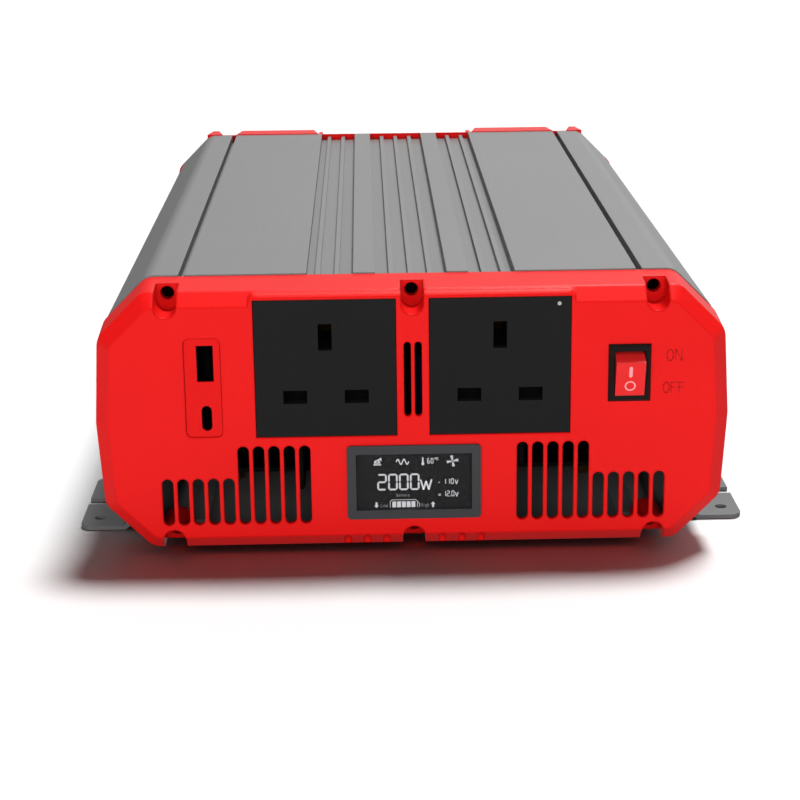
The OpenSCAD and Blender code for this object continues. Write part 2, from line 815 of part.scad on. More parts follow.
module usb_panel() {
    gap = 0.15;
    sunk = 0.4;
    panel_t = 0.9;
    a_hole = [6, 13.4];
    c_hole = [3.7, 9.4];
    color(red) difference() {
        along_y(-face_y + sunk, panel_t) round_rect(-usb_x - usb_w / 2 + gap, usb_z + gap,
            usb_w - 2 * gap, usb_h - 2 * gap, 2);
        along_y(-face_y - past, bezel_wall + 2 * past) {
            translate([usb_mid - a_hole[0] / 2, usb_a_z - a_hole[1] / 2]) square(a_hole);
            upright_slot(usb_mid, c_hole[0], usb_c_z - c_hole[1] / 2, usb_c_z + c_hole[1] / 2);
        }
    }
}

module usb_a_port() {
    shell = [5.7, 14, 13.1];
    wall = 0.35;
    tongue = [1.7, 9.2, 11.2];
    port_y = -face_y + 0.7;
    color(zinc) difference() {
        block_mid(usb_mid, port_y, usb_a_z - shell[2] / 2, shell[0], shell[1], shell[2]);
        block_mid(usb_mid, port_y - past, usb_a_z - shell[2] / 2 + wall,
            shell[0] - 2 * wall, tongue[1] + past + 0.1, shell[2] - 2 * wall);
    }
    color(black)
        block(usb_mid + 0.1, port_y + 0.9, usb_a_z - tongue[2] / 2, tongue[0], tongue[1], tongue[2]);
}

module usb_c_port() {
    half_h = 4.5;
    wall = 0.3;
    tongue = [0.7, 5.5, 6.6];
    port_y = -face_y + 0.7;
    color(zinc) difference() {
        along_y(port_y, 9) upright_slot(usb_mid, 3.3, usb_c_z - half_h, usb_c_z + half_h);
        along_y(port_y - past, tongue[1] + 1.8)
            upright_slot(usb_mid, 3.3 - 2 * wall, usb_c_z - half_h + wall, usb_c_z + half_h - wall);
    }
    color(black)
        block_mid(usb_mid, port_y + 0.9, usb_c_z - tongue[2] / 2, tongue[0], tongue[1], tongue[2]);
}

module usb_board() {
    port_side = 2.85;
    coil = 9;
    color(board_tint) union() {
        block(usb_mid + port_side, -face_y + 5, usb_z + 1, board_t, 22, usb_h - 2);
        block(usb_mid - 5.2, -face_y + 16, usb_a_z - 24, port_side + 5.3, coil, coil);
    }
}

// ---- rocker switch -------------------------------------------------------------------------

module switch_housing() {
    inner_w = rocker_w + 0.6;
    lip_slant = 0.9;
    root = 0.5;
    neck = 1.1;          // the body is this much smaller than the frame all round
    room_d = 16;
    bearing = 0.9;       // depth of the trunnions' bearings
    color(black) difference() {
        union() {
            hull() {
                block_mid(switch_x, -face_y - root, switch_z - switch_h / 2, switch_w, root, switch_h);
                block_mid(switch_x, -face_y - switch_lip, switch_z - switch_h / 2 + lip_slant,
                    switch_w - 2 * lip_slant, root, switch_h - 2 * lip_slant);
            }
            block_mid(switch_x, -face_y - 0.1, switch_z - switch_h / 2 + neck,
                switch_w - 2 * neck, switch_back, switch_h - 2 * neck);
        }
        block_mid(switch_x, -face_y - 4, switch_z - rocker_room, inner_w, room_d, 2 * rocker_room);
        translate([switch_x - inner_w / 2 - bearing, pivot_y, switch_z]) rotate([0, 90, 0])
            cylinder(h = inner_w + 2 * bearing, r = trunnion_r + slip);
    }
}

// The rocker, tilted with its lower end pressed in. Its trunnions turn in the housing.
module switch_rocker() {
    shoulder = rocker_half + 0.8;
    shoulder_y = -1.5;
    back_y = 3;
    back_in = 0.4;
    color([0.75, 0.04, 0.04]) translate([switch_x, pivot_y, switch_z])
        rotate([rocker_tilt, 0, 0]) union() {
            translate([-rocker_w / 2, 0, 0]) rotate([90, 0, 90]) linear_extrude(rocker_w) polygon([
                [-rocker_face, rocker_half], [-rocker_face, -rocker_half],
                [shoulder_y, -shoulder], [back_y, back_in - shoulder],
                [back_y, shoulder - back_in], [shoulder_y, shoulder]]);
            rotate([0, 90, 0]) cylinder(h = rocker_w + 1.6, r = trunnion_r, center = true);
        }
}

module switch_tabs() {
    tab = [4.8, 8.1, 0.8];
    tab_pitch = 6;
    color([0.75, 0.7, 0.6]) for (i = [-1:1])
        block_mid(switch_x, -face_y - 0.1 + switch_back, switch_z + i * tab_pitch - tab[2] / 2,
            tab[0], tab[1], tab[2]);
}

// ---- fans ----------------------------------------------------------------------------------

module fan_frame(side) {
    flange_t = 4;
    waist = [20, 24];
    seat_r = 13;
    seat_t = 2.4;
    stay_w = 3.2;
    stay_x = 10;
    hub_h = 7;
    color(black) translate([side * fan_x, 0, fan_z]) difference() {
        union() {
            difference() {
                block_mid(0, fan_y0, -fan_w / 2, fan_w, fan_d, fan_w);
                rod_y(0, 0, fan_y0 - past, fan_d + 2 * past, fan_bore_r);
                for (a = [45:90:315]) rotate([0, a, 0])
                    block(fan_bore_r + 1.5, fan_y0 + flange_t, -waist[1] / 2,
                        waist[0], fan_d - 2 * flange_t, waist[1]);
                for (p = fan_holes) rod_y(p[0], p[1], fan_y0 - past, fan_d + 2 * past, fan_hole_r);
            }
            // motor seat and its three stays, on the inner side
            rod_y(0, 0, fan_y0, seat_t, seat_r);
            for (a = [30:120:270]) rotate([0, a, 0])
                block(stay_x, fan_y0, -stay_w / 2, fan_bore_r + 0.6 - stay_x, seat_t, stay_w);
            rod_y(0, 0, fan_y0, hub_h, 4);
        }
        rod_y(0, 0, fan_y0 - past, hub_h + 5, screw_r + slip);
    }
}

module fan_rotor(side) {
    blades = 7;
    pitch_angle = 40;
    blade_t = 1.4;
    blade_y = fan_y0 + 4;
    blade_len = fan_d - 6;
    blade_run = 1.24 * blade_len;
    color([0.08, 0.08, 0.08]) translate([side * fan_x, 0, fan_z]) union() {
        difference() {
            rod_y(0, 0, blade_y, blade_len, motor_r);
            rod_y(0, 0, blade_y - past, blade_len - past, motor_r - 1.5);
        }
        rod_y(0, 0, fan_y0 + 0.5, fan_d - 4, screw_r);
        intersection() {
            rod_y(0, 0, blade_y, blade_len, fan_bore_r - 0.9);
            for (i = [0:blades - 1]) rotate([0, i * 360 / blades, 0])
                translate([0, blade_y + blade_len / 2, 0]) rotate([pitch_angle, 0, 0])
                    block(motor_r - 0.7, -blade_run / 2, -blade_t / 2, fan_bore_r, blade_run, blade_t);
        }
    }
}

// A wire finger guard outside the rear face.
module fan_guard(side) {
    wire = 0.85;
    ring_y = 2.4;
    stay_y = 1.2;
    stay_in = 4;
    eye_r = 3.9;
    eye_t = 1.8;
    eye_x = fan_hole * sqrt(2);
    color([0.75, 0.75, 0.76]) translate([side * fan_x, face_y, fan_z]) union() {
        for (i = [1:5]) translate([0, ring_y, 0]) rotate([90, 0, 0]) rotate_extrude()
            translate([i < 5 ? i * (fan_bore_r - 4.4) / 4 : fan_bore_r + 1.1, 0])
                circle(wire, $fn = 20);
        for (a = [45:90:315]) rotate([0, a, 0]) {
            translate([stay_in, stay_y, 0]) rotate([0, 90, 0])
                cylinder(h = eye_x - eye_r + 0.4 - stay_in, r = wire + 0.1, $fn = 20);
            difference() {
                rod_y(eye_x, 0, 0, eye_t, eye_r);
                rod_y(eye_x, 0, -past, eye_t + 2 * past, fan_hole_r);
            }
        }
    }
}

module fan_screws() {
    head = [3.3, 1.8];
    eye_t = 1.8;
    color([0.7, 0.7, 0.71]) for (s = [-1, 1], p = fan_holes)
        translate([s * fan_x + p[0], 0, fan_z + p[1]]) mirror([0, 1, 0])
            pan_screw_y(0, 0, -face_y - eye_t, fan_d + 6, 1.7, head[0], head[1]);
}

// ---- terminals -----------------------------------------------------------------------------

spigot_r = stud_r + 2.4;
earth_r = 2.5;

module terminal_base(side, tint) {
    flange = 28;
    flange_t = 3;
    seat_r = 11;
    inside = 6;          // how far the spigot reaches into the case
    color(tint) difference() {
        union() {
            along_y(wall_y, flange_t)
                round_rect(side * post_x - flange / 2, post_z - flange / 2, flange, flange, flange_t);
            rod_y(side * post_x, post_z, wall_y, base_h, seat_r);
            rod_y(side * post_x, post_z, body_y - inside, wall_y - body_y + inside + 1, spigot_r);
        }
        rod_y(side * post_x, post_z, body_y - inside - past, inside + bezel_d, stud_r + slip);
    }
}

// A stud with a flange inside the case and a relief groove at the knob's outer face.
module terminal_stud(side) {
    inner_y = body_y - 20;
    flange_y = body_y - 9;
    flange_t = 2.9;
    tip_y = knob_y + knob_len + stud_tip;
    groove_y = knob_y + knob_len + fit_gap - stud_groove;
    color(brass) difference() {
        union() {
            rod_y(side * post_x, post_z, inner_y, tip_y - inner_y, stud_r);
            rod_y(side * post_x, post_z, flange_y, flange_t, stud_r + 3.2);
        }
        difference() {
            rod_y(side * post_x, post_z, groove_y, stud_groove, stud_r + past);
            rod_y(side * post_x, post_z, groove_y - past, stud_groove + 2 * past, stud_r - 0.5);
        }
    }
}

module terminal_washer(side) {
    washer_y = wall_y + base_h + 0.3;
    color(zinc) difference() {
        rod_y(side * post_x, post_z, washer_y, washer_t, 9);
        rod_y(side * post_x, post_z, washer_y - past, washer_t + 2 * past, stud_r + slip);
    }
}

// A fluted hand nut on the stud.
module terminal_knob(side, tint) {
    flute_r = 1.7;
    collar = 2;
    color(tint) difference() {
        union() {
            rod_y(side * post_x, post_z, knob_y, knob_len, knob_r - 0.8);
            rod_y(side * post_x, post_z, knob_y - collar, collar + 0.1, knob_r - 2.5);
            for (a = [0:30:330]) rotate_about(side * post_x, post_z, a)
                rod_y(side * post_x + knob_r - flute_r, post_z, knob_y, knob_len, flute_r);
        }
        rod_y(side * post_x, post_z, knob_y - collar - past, knob_len + collar + 2 * past,
            stud_r + slip);
    }
}

module earth_screw() {
    nut_h = 5.1;
    color([0.75, 0.65, 0.35]) union() {
        rod_y(0, earth_post_z, body_y - 8, wall_y - body_y + 19.5, earth_r);
        rod_y(0, earth_post_z, wall_y, 1.2, 6);
        translate([0, wall_y, earth_post_z]) rotate([-90, 0, 0]) cylinder(h = nut_h, r = 4.6, $fn = 6);
    }
}

// ---- power electronics ---------------------------------------------------------------------

board_len = board_y1 - board_y0;
standoffs = [for (x = [-70, 70], y = [board_y0 + 10, (board_y0 + board_y1) / 2, board_y1 - 10]) [x, y]];
sink_x0 = 52;
sink_y0 = board_y0 + 6;
sink_len = board_len - 45;

module power_board() {
    color(board_tint) difference() {
        block_mid(0, board_y0, board_z, 2 * board_x, board_len, board_t);
        for (p = standoffs) translate([p[0], p[1], board_z - past])
            cylinder(h = board_t + 2 * past, r = 1.6);
    }
}

module board_standoffs() {
    rise = board_z - post_z0;
    color(brass) for (p = standoffs) translate([p[0], p[1], post_z0]) {
        cylinder(h = rise, r = 3.2, $fn = 6);
        cylinder(h = rise + board_t + 0.1, r = 1.5);
        translate([0, 0, rise + board_t]) cylinder(h = 1.8, r = 2.8);
    }
}

// From each stud down to the board.
module bus_bars() {
    bar_w = 14;
    bar_t = 2.4;
    bar_y = body_y - 12;
    top = post_z + bar_w / 2;
    color([0.78, 0.42, 0.25]) for (s = [-1, 1]) difference() {
        union() {
            block_mid(s * post_x, bar_y, board_top, bar_w, bar_t, top - board_top);
            block_mid(s * post_x, board_y1 - 22, board_top, bar_w, bar_y + bar_t - board_y1 + 22, bar_t);
        }
        rod_y(s * post_x, post_z, bar_y - past, bar_t + 2 * past, stud_r + slip);
    }
}

module fuses() {
    fuse = [6, 19, 17];
    pitch = 13;
    color([0.85, 0.5, 0.1]) for (i = [-2.5:2.5])
        block_mid(i * pitch - 0.5, board_y1 - 46, board_top, fuse[0], fuse[1], fuse[2]);
}

module transformers() {
    core = [44, 26, 36];
    leg_x = 10.5;
    window = [12, 22];
    pitch = 32;
    color([0.12, 0.11, 0.11]) for (i = [0:2]) translate([0, i * pitch - 8, board_top]) difference() {
        block_mid(0, -core[1] / 2, 0, core[0], core[1], core[2]);
        for (s = [-1, 1]) block_mid(s * leg_x, -core[1] / 2 - past, 7,
            window[0], core[1] + 2 * past, window[1]);
    }
    color([0.7, 0.55, 0.15]) for (i = [0:2], s = [-1, 1])
        block_mid(s * leg_x, i * pitch - 8 - core[1] / 2 - 0.6, board_top + 7.1,
            window[0] - 0.2, core[1] + 1.2, window[1] - 0.2);
}

module capacitors() {
    large = [9, 38];     // radius and height of the high-voltage cans
    small = [6, 30];
    color([0.08, 0.1, 0.25]) union() {
        for (i = [0:2], x = [-11, 11])
            translate([x, -40 - i * 21, board_top]) cylinder(h = large[1], r = large[0]);
        for (x = [-33, 33])
            translate([x, board_y1 - 11, board_top]) cylinder(h = small[1], r = small[0]);
    }
}

module heat_sink(side) {
    plate = [3.5, 50];
    fin = [17, 1.8];
    fin_pitch = 8.4;
    color([0.25, 0.25, 0.26]) mirror_x(side) union() {
        block(sink_x0, sink_y0, board_top, plate[0], sink_len, plate[1]);
        for (i = [0:5])
            block(sink_x0 + plate[0] - 0.1, sink_y0, board_top + 6 + i * fin_pitch, fin[0], sink_len, fin[1]);
    }
}

module power_transistors() {
    count = 9;
    body = [4.6, 10.2, 15.5];
    lead = [0.6, 1, 8.1];
    lead_pitch = 2.6;
    pitch = sink_len / (count + 0.5);
    color([0.1, 0.1, 0.1]) for (s = [-1, 1], i = [0:count - 1]) {
        x = s * (sink_x0 - body[0] / 2);
        y = sink_y0 + pitch / 2 + i * pitch;
        block_mid(x, y - body[1] / 2, board_top + 8, body[0], body[1], body[2]);
        for (k = [-1:1])
            block_mid(x, y + k * lead_pitch - lead[1] / 2, board_top, lead[0], lead[1], lead[2]);
    }
}

module filter_choke() {
    ring_r = 10.5;
    winding_r = 5.4;
    color([0.72, 0.42, 0.2]) translate([-26, -86, board_top + ring_r + winding_r + 0.1])
        rotate([0, 90, 0]) rotate_extrude() translate([ring_r, 0]) circle(winding_r);
}

module control_board() {
    x = 24;
    y0 = board_y0 + 8;
    chip = [1.8, 11, 9];
    color(board_tint) union() {
        block(x, y0, board_top, board_t, 64, 40);
        for (i = [0:2]) block(x + 1.5, y0 + 6 + i * 19, board_top + 12, chip[0], chip[1], chip[2]);
        block(x + 1.5, y0 + 10, board_top + 28, 7, 34, 8);
    }
}

// Line, neutral and earth leads from the outlets to the board.
module outlet_wires() {
    tail_y = clip_y + tail_end;
    over = 5;
    color([0.1, 0.1, 0.1]) for (s = [-1, 1], k = [0:2]) {
        x = s * outlet_x + (k - 1) * pin_x;
        z = k == 1 ? earth_z : line_z;
        bend_y = tail_y + 6 + k * 4;
        low_z = board_top + lead_r + 0.1 + k * 3;
        rod_y(x, z, tail_y, bend_y - tail_y + lead_r, lead_r);
        translate([x, bend_y, low_z]) cylinder(h = z - low_z, r = lead_r);
        rod_y(x, low_z, bend_y - lead_r, board_y0 - bend_y + over, lead_r);
    }
}

// ---- nodes ---------------------------------------------------------------------------------

top_panel();
side_rail(-1);  // side_rail_left
side_rail(1);  // side_rail_right
base_plate();
front_bezel();
rear_bezel();
bezel_screws(-1);  // front_bezel_screws
bezel_screws(1);  // rear_bezel_screws
foot(-1, -1);  // foot_front_left
foot(1, -1);  // foot_front_right
foot(-1, 1);  // foot_rear_left
foot(1, 1);  // foot_rear_right
foot_screws();
outlet(-1);  // outlet_left
outlet(1);  // outlet_right
outlet_shutter(-1);  // outlet_shutter_left
outlet_shutter(1);  // outlet_shutter_right
outlet_contacts(-1);  // outlet_contacts_left
outlet_contacts(1);  // outlet_contacts_right
outlet_led();
display_frame();
display_window();
display_glass();
display_board();
usb_panel();
usb_a_port();
usb_c_port();
usb_board();
switch_housing();
switch_rocker();
switch_tabs();
fan_frame(-1);  // fan_frame_left
fan_frame(1);  // fan_frame_right
fan_rotor(-1);  // fan_rotor_left
fan_rotor(1);  // fan_rotor_right
fan_guard(-1);  // fan_guard_left
fan_guard(1);  // fan_guard_right
fan_screws();
terminal_base(1, [0.75, 0.05, 0.05]);  // terminal_base_positive
terminal_base(-1, [0.05, 0.05, 0.05]);  // terminal_base_negative
terminal_stud(1);  // terminal_stud_positive
terminal_stud(-1);  // terminal_stud_negative
terminal_knob(1, [0.75, 0.05, 0.05]);  // terminal_knob_positive
terminal_knob(-1, [0.05, 0.05, 0.05]);  // terminal_knob_negative
terminal_washer(1);  // terminal_washer_positive
terminal_washer(-1);  // terminal_washer_negative
earth_screw();
power_board();
board_standoffs();
bus_bars();
fuses();
transformers();
capacitors();
heat_sink(-1);  // heat_sink_left
heat_sink(1);  // heat_sink_right
power_transistors();
filter_choke();
control_board();
outlet_wires();
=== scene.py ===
"""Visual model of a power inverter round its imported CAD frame.

Every CAD node keeps its shape and gets a procedural finish. What the CAD leaves plain is made here
as numpy surfaces: the display's readout, the lettering, the rocker's marks, threaded studs, twisted
fan blades, windings, leads and capacitor cans.
"""

import logging
import math
from dataclasses import dataclass
from enum import Enum
from typing import Any, Iterable, Optional, Sequence

import bpy
import numpy as np
from mathutils import Euler, Matrix, Vector

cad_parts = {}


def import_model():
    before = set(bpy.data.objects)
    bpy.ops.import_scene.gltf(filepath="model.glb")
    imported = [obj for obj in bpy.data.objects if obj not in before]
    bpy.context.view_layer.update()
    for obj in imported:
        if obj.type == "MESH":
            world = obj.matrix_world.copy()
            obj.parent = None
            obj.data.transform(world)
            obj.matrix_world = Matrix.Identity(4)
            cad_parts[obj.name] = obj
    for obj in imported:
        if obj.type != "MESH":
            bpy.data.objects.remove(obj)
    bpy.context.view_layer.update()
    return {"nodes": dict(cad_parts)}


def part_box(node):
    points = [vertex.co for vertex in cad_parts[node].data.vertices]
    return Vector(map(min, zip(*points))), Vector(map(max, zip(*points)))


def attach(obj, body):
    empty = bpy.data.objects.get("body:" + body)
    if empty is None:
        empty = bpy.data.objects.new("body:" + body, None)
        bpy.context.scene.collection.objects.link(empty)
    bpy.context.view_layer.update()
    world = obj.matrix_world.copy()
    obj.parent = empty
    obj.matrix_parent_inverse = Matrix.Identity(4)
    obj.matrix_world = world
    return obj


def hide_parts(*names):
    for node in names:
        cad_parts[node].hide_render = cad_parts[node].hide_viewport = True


LOG = logging.getLogger("inverter")
MM = 0.001
Colour = tuple[float, float, float]
Point = tuple[float, float, float]


class Axis(Enum):
    """A direction in the row frame, as the index of its coordinate."""

    X = 0
    Y = 1
    Z = 2


# ---- shader graphs ---------------------------------------------------------------------------


class Value:
    """One number in a shader graph, with Python's operators as Math nodes."""

    def __init__(self, graph: "Graph", socket: Any) -> None:
        """Wraps an output socket of a graph."""
        self.graph = graph
        self.socket = socket

    def _math(self, operation: str, *operands: Any) -> "Value":
        """Adds a Math node.

        Args:
            operation: the node's operation.
            operands: values, sockets or plain numbers, in order.

        Returns:
            The node's result.
        """
        made = self.graph.node("ShaderNodeMath", {"operation": operation}, dict(enumerate(operands)))
        return Value(self.graph, made.outputs[0])

    def __add__(self, other: Any) -> "Value":
        """Sum."""
        return self._math("ADD", self, other)

    __radd__ = __add__

    def __sub__(self, other: Any) -> "Value":
        """Difference."""
        return self._math("SUBTRACT", self, other)

    def __rsub__(self, other: Any) -> "Value":
        """Difference, reflected."""
        return self._math("SUBTRACT", other, self)

    def __mul__(self, other: Any) -> "Value":
        """Product."""
        return self._math("MULTIPLY", self, other)

    __rmul__ = __mul__

    def __pow__(self, other: Any) -> "Value":
        """Power."""
        return self._math("POWER", self, other)

    def least(self, other: Any) -> "Value":
        """The smaller of two values."""
        return self._math("MINIMUM", self, other)

    def most(self, other: Any) -> "Value":
        """The larger of two values."""
        return self._math("MAXIMUM", self, other)

    def wave(self, period: float) -> "Value":
        """A sine of this value with the given period, from 0 to 1."""
        return (self * (2 * math.pi / period))._math("SINE") * 0.5 + 0.5

    def step(self, low: float, high: float) -> "Value":
        """Rises smoothly from 0 at low to 1 at high."""
        made = self.graph.node(
            "ShaderNodeMapRange",
            {"interpolation_type": "SMOOTHSTEP"},
            {"Value": self, "From Min": low, "From Max": high, "To Min": 0.0, "To Max": 1.0},
        )
        return Value(self.graph, made.outputs["Result"])


class Graph:
    """The node tree of one material, built from its Principled shader outwards."""

    def __init__(self, name: str, world: Optional[bpy.types.World] = None) -> None:
        """Empties a world's tree, or that of a new material.

        Args:
            name: the new material's name.
            world: the world whose tree is meant, if any.
        """
        self.material = world or bpy.data.materials.new(name)
        self.material.use_nodes = True
        self.tree = self.material.node_tree
        self.tree.nodes.clear()
        self.output = self.tree.nodes.new(f"ShaderNodeOutput{'World' if world else 'Material'}")
        self._place: Optional[Any] = None

    @classmethod
    def of_world(cls, world: bpy.types.World) -> "Graph":
        """The graph of a world."""
        return cls(world.name, world)

    def node(self, kind: str, settings: Optional[dict] = None, inputs: Optional[dict] = None) -> Any:
        """Adds any node.

        Args:
            kind: the node's type name.
            settings: properties set before the sockets are read.
            inputs: socket name or index to a plain value, a Value or an output socket.

        Returns:
            The new node.
        """
        made = self.tree.nodes.new(kind)
        for key, setting in (settings or {}).items():
            setattr(made, key, setting)
        for key, given in (inputs or {}).items():
            target = made.inputs[key]
            if isinstance(given, Value):
                self.tree.links.new(given.socket, target)
            elif isinstance(given, bpy.types.NodeSocket):
                self.tree.links.new(given, target)
            else:
                target.default_value = given
        return made

    def place(self) -> Any:
        """The Object coordinates, in metres."""
        if self._place is None:
            self._place = self.node("ShaderNodeTexCoord").outputs["Object"]
        return self._place

    def along(self, axis: Axis) -> Value:
        """The Object coordinate along one axis."""
        split = self.node("ShaderNodeSeparateXYZ", None, {0: self.place()})
        return Value(self, split.outputs[axis.value])

    def stretched(self, factors: Point) -> Any:
        """The Object coordinates scaled by a factor along each axis."""
        return self.node("ShaderNodeMapping", None, {"Vector": self.place(), "Scale": factors}).outputs[0]

    def noise(self, size: float, detail: float = 2.0, factors: Point = (1.0, 1.0, 1.0)) -> Value:
        """Soft noise from 0 to 1.

        Args:
            size: the size of its largest blotches, in metres.
            detail: how many finer layers it has.
            factors: scale along each axis, below 1 to stretch the blotches.

        Returns:
            The noise's value.
        """
        made = self.node(
            "ShaderNodeTexNoise", None, {"Vector": self.stretched(factors), "Scale": 1 / size, "Detail": detail}
        )
        return Value(self, made.outputs[0])

    def cells(self, size: float, feature: str = "F1") -> Value:
        """Distance to the nearest of scattered points, whose spacing is size in metres."""
        made = self.node("ShaderNodeTexVoronoi", {"feature": feature}, {"Vector": self.place(), "Scale": 1 / size})
        return Value(self, made.outputs["Distance"])

    def blend(self, factor: Any, first: Any, second: Any) -> Any:
        """Mixes two colours.

        Args:
            factor: 0 for the first colour, 1 for the second.
            first: a colour or a colour socket.
            second: a colour or a colour socket.

        Returns:
            The mixed colour's socket.
        """
        settings = {"data_type": "RGBA"}
        made = self.node("ShaderNodeMix", settings, {0: factor})
        for key, given in ((6, first), (7, second)):
            if isinstance(given, bpy.types.NodeSocket):
                self.tree.links.new(given, made.inputs[key])
            else:
                made.inputs[key].default_value = (*given, 1.0)
        return made.outputs[2]

    def relief(self, height: Value, depth: float, edge: float = 0.0) -> Any:
        """A Bump normal over an optional rounded-edge normal.

        Args:
            height: the surface's height from 0 to 1.
            depth: what a height of 1 stands for, in metres.
            edge: radius by which sharp edges look rounded, in metres.

        Returns:
            The normal's socket.
        """
        inputs: dict = {"Height": height, "Distance": depth, "Strength": 1.0}
        if edge:
            inputs["Normal"] = self.node("ShaderNodeBevel", {"samples": 6}, {"Radius": edge}).outputs[0]
        return self.node("ShaderNodeBump", None, inputs).outputs[0]

    def close(self, inputs: dict) -> bpy.types.Material:
        """Adds the Principled shader and joins it to the output.

        Args:
            inputs: values and links of the shader's sockets.

        Returns:
            The finished material.
        """
        shader = self.node("ShaderNodeBsdfPrincipled", None, inputs)
        self.tree.links.new(shader.outputs[0], self.output.inputs[0])
        return self.material


def shade(colour: Colour, factor: float) -> Colour:
    """A colour made lighter or darker by a factor."""
    return tuple(min(1.0, c * factor) for c in colour)  # type: ignore[return-value]


# ---- finishes --------------------------------------------------------------------------------


@dataclass(frozen=True)
class Finish:
    """A surface finish: one material, made when it is first used."""

    name: str

    def build(self) -> bpy.types.Material:
        """Makes the material. Each kind of finish has its own."""
        raise NotImplementedError

    def material(self) -> bpy.types.Material:
        """The finish's material, shared by all pieces that wear it."""
        return bpy.data.materials.get(self.name) or self.build()

    def dress(self, *pieces: bpy.types.Object) -> None:
        """Gives whole pieces this finish.

        Args:
            pieces: objects whose material slots are all replaced.
        """
        for piece in pieces:
            piece.data.materials.clear()
            piece.data.materials.append(self.material())


@dataclass(frozen=True)
class Moulded(Finish):
    """Injection-moulded plastic: a fine spark-eroded grain, soft flow marks and edges worn smoother."""

    colour: Colour
    rough: float = 0.4
    grain: float = 0.0005
    depth: float = 0.00002
    specular: float = 0.5
    edge: float = 0.0004
    shift: float = 0.06

    def build(self) -> bpy.types.Material:
        """Colour drifts by shift over slow clouds, and the grain lifts roughness and the normal."""
        g = Graph(self.name)
        cloud = g.noise(0.045, 2)
        grain = g.noise(self.grain, 3)
        streak = g.noise(0.02, 3, (0.25, 1.0, 1.0))
        tint = g.blend(cloud, shade(self.colour, 1 - self.shift), shade(self.colour, 1 + self.shift))
        rough = (grain - 0.5) * 0.10 + (streak - 0.5) * 0.08 + self.rough
        return g.close(
            {
                "Base Color": tint,
                "Roughness": rough,
                "Normal": g.relief(grain, self.depth, self.edge),
                "Specular IOR Level": self.specular,
            }
        )


@dataclass(frozen=True)
class Coated(Finish):
    """Satin coat on extruded aluminium: die lines along the extrusion, orange peel, a few pale specks."""

    colour: Colour
    rough: float = 0.38
    metallic: float = 0.0
    specular: float = 0.5
    lines: Axis = Axis.Y
    edge: float = 0.00035

    def build(self) -> bpy.types.Material:
        """Lines are noise drawn out along one axis; peel is rounder noise under them."""
        g = Graph(self.name)
        factors = [1.0, 1.0, 1.0]
        factors[self.lines.value] = 0.006
        lines = g.noise(0.0012, 2, tuple(factors))
        peel = g.noise(0.00075, 3)
        cloud = g.noise(0.06, 3)
        speck = g.cells(0.0011).step(0.16, 0.10)
        base = g.blend(cloud, shade(self.colour, 0.94), shade(self.colour, 1.05))
        tint = g.blend(speck * 0.35, base, shade(self.colour, 1.5))
        rough = (lines - 0.5) * 0.03 + (peel - 0.5) * 0.10 + self.rough
        height = lines * 0.08 + peel * 0.92
        return g.close(
            {
                "Base Color": tint,
                "Roughness": rough,
                "Metallic": self.metallic,
                "Specular IOR Level": self.specular,
                "Normal": g.relief(height, 0.00002, self.edge),
            }
        )


@dataclass(frozen=True)
class Metal(Finish):
    """Bare or plated metal, brushed along one axis and faintly scratched."""

    colour: Colour
    rough: float = 0.28
    brushed: Axis = Axis.X
    stain: float = 0.12
    edge: float = 0.0003

    def build(self) -> bpy.types.Material:
        """Brushing is fine noise stretched along its axis, and tarnish darkens slow clouds."""
        g = Graph(self.name)
        factors = [1.0, 1.0, 1.0]
        factors[self.brushed.value] = 0.03
        brush = g.noise(0.00035, 3, tuple(factors))
        cloud = g.noise(0.012, 4)
        tint = g.blend(cloud.step(0.35, 0.75) * self.stain * 3, self.colour, shade(self.colour, 0.6))
        rough = (brush - 0.5) * 0.22 + (cloud - 0.5) * 0.15 + self.rough
        return g.close(
            {
                "Base Color": tint,
                "Roughness": rough,
                "Metallic": 1.0,
                "Normal": g.relief(brush, 0.00001, self.edge),
            }
        )


@dataclass(frozen=True)
class Board(Finish):
    """Solder-masked circuit board: copper tracks show lighter through the mask, with tinned pads."""

    # The mask's near-black colour is painted shade of the closed case's dark inside, not the mask's own colour.
    colour: Colour = (0.004, 0.007, 0.006)
    pitch: float = 0.0042

    def build(self) -> bpy.types.Material:
        """Tracks are bands of two sines at right angles, gated by cells; pads are dots on a grid."""
        g = Graph(self.name)
        across = g.along(Axis.X).wave(self.pitch)
        along = g.along(Axis.Y).wave(self.pitch * 1.3)
        gate = g.cells(0.017).step(0.42, 0.5)
        tracks = (across.step(0.72, 0.8) * gate).most(along.step(0.76, 0.84) * (1 - gate))
        pads = (across * along).step(0.93, 0.96)
        mask = g.blend(g.noise(0.02), shade(self.colour, 0.85), shade(self.colour, 1.15))
        tint = g.blend(pads, g.blend(tracks * 0.6, mask, shade(self.colour, 2.2)), (0.6, 0.6, 0.58))
        return g.close(
            {
                "Base Color": tint,
                "Roughness": 0.42 - pads * 0.12 + g.noise(0.004) * 0.06,
                "Metallic": pads * 0.9,
                "Normal": g.relief(tracks.most(pads), 0.00005, 0.0002),
            }
        )


@dataclass(frozen=True)
class Wound(Finish):
    """Enamelled copper wire: glossy, with a darker tone where the enamel is thick."""

    colour: Colour = (0.42, 0.11, 0.035)

    def build(self) -> bpy.types.Material:
        """Enamel thickness follows soft noise."""
        g = Graph(self.name)
        coat = g.noise(0.003, 3)
        return g.close(
            {
                "Base Color": g.blend(coat, shade(self.colour, 0.6), shade(self.colour, 1.3)),
                "Roughness": 0.22 + coat * 0.12,
                "Metallic": 0.75,
                "Normal": g.relief(g.noise(0.0006), 0.00001),
            }
        )


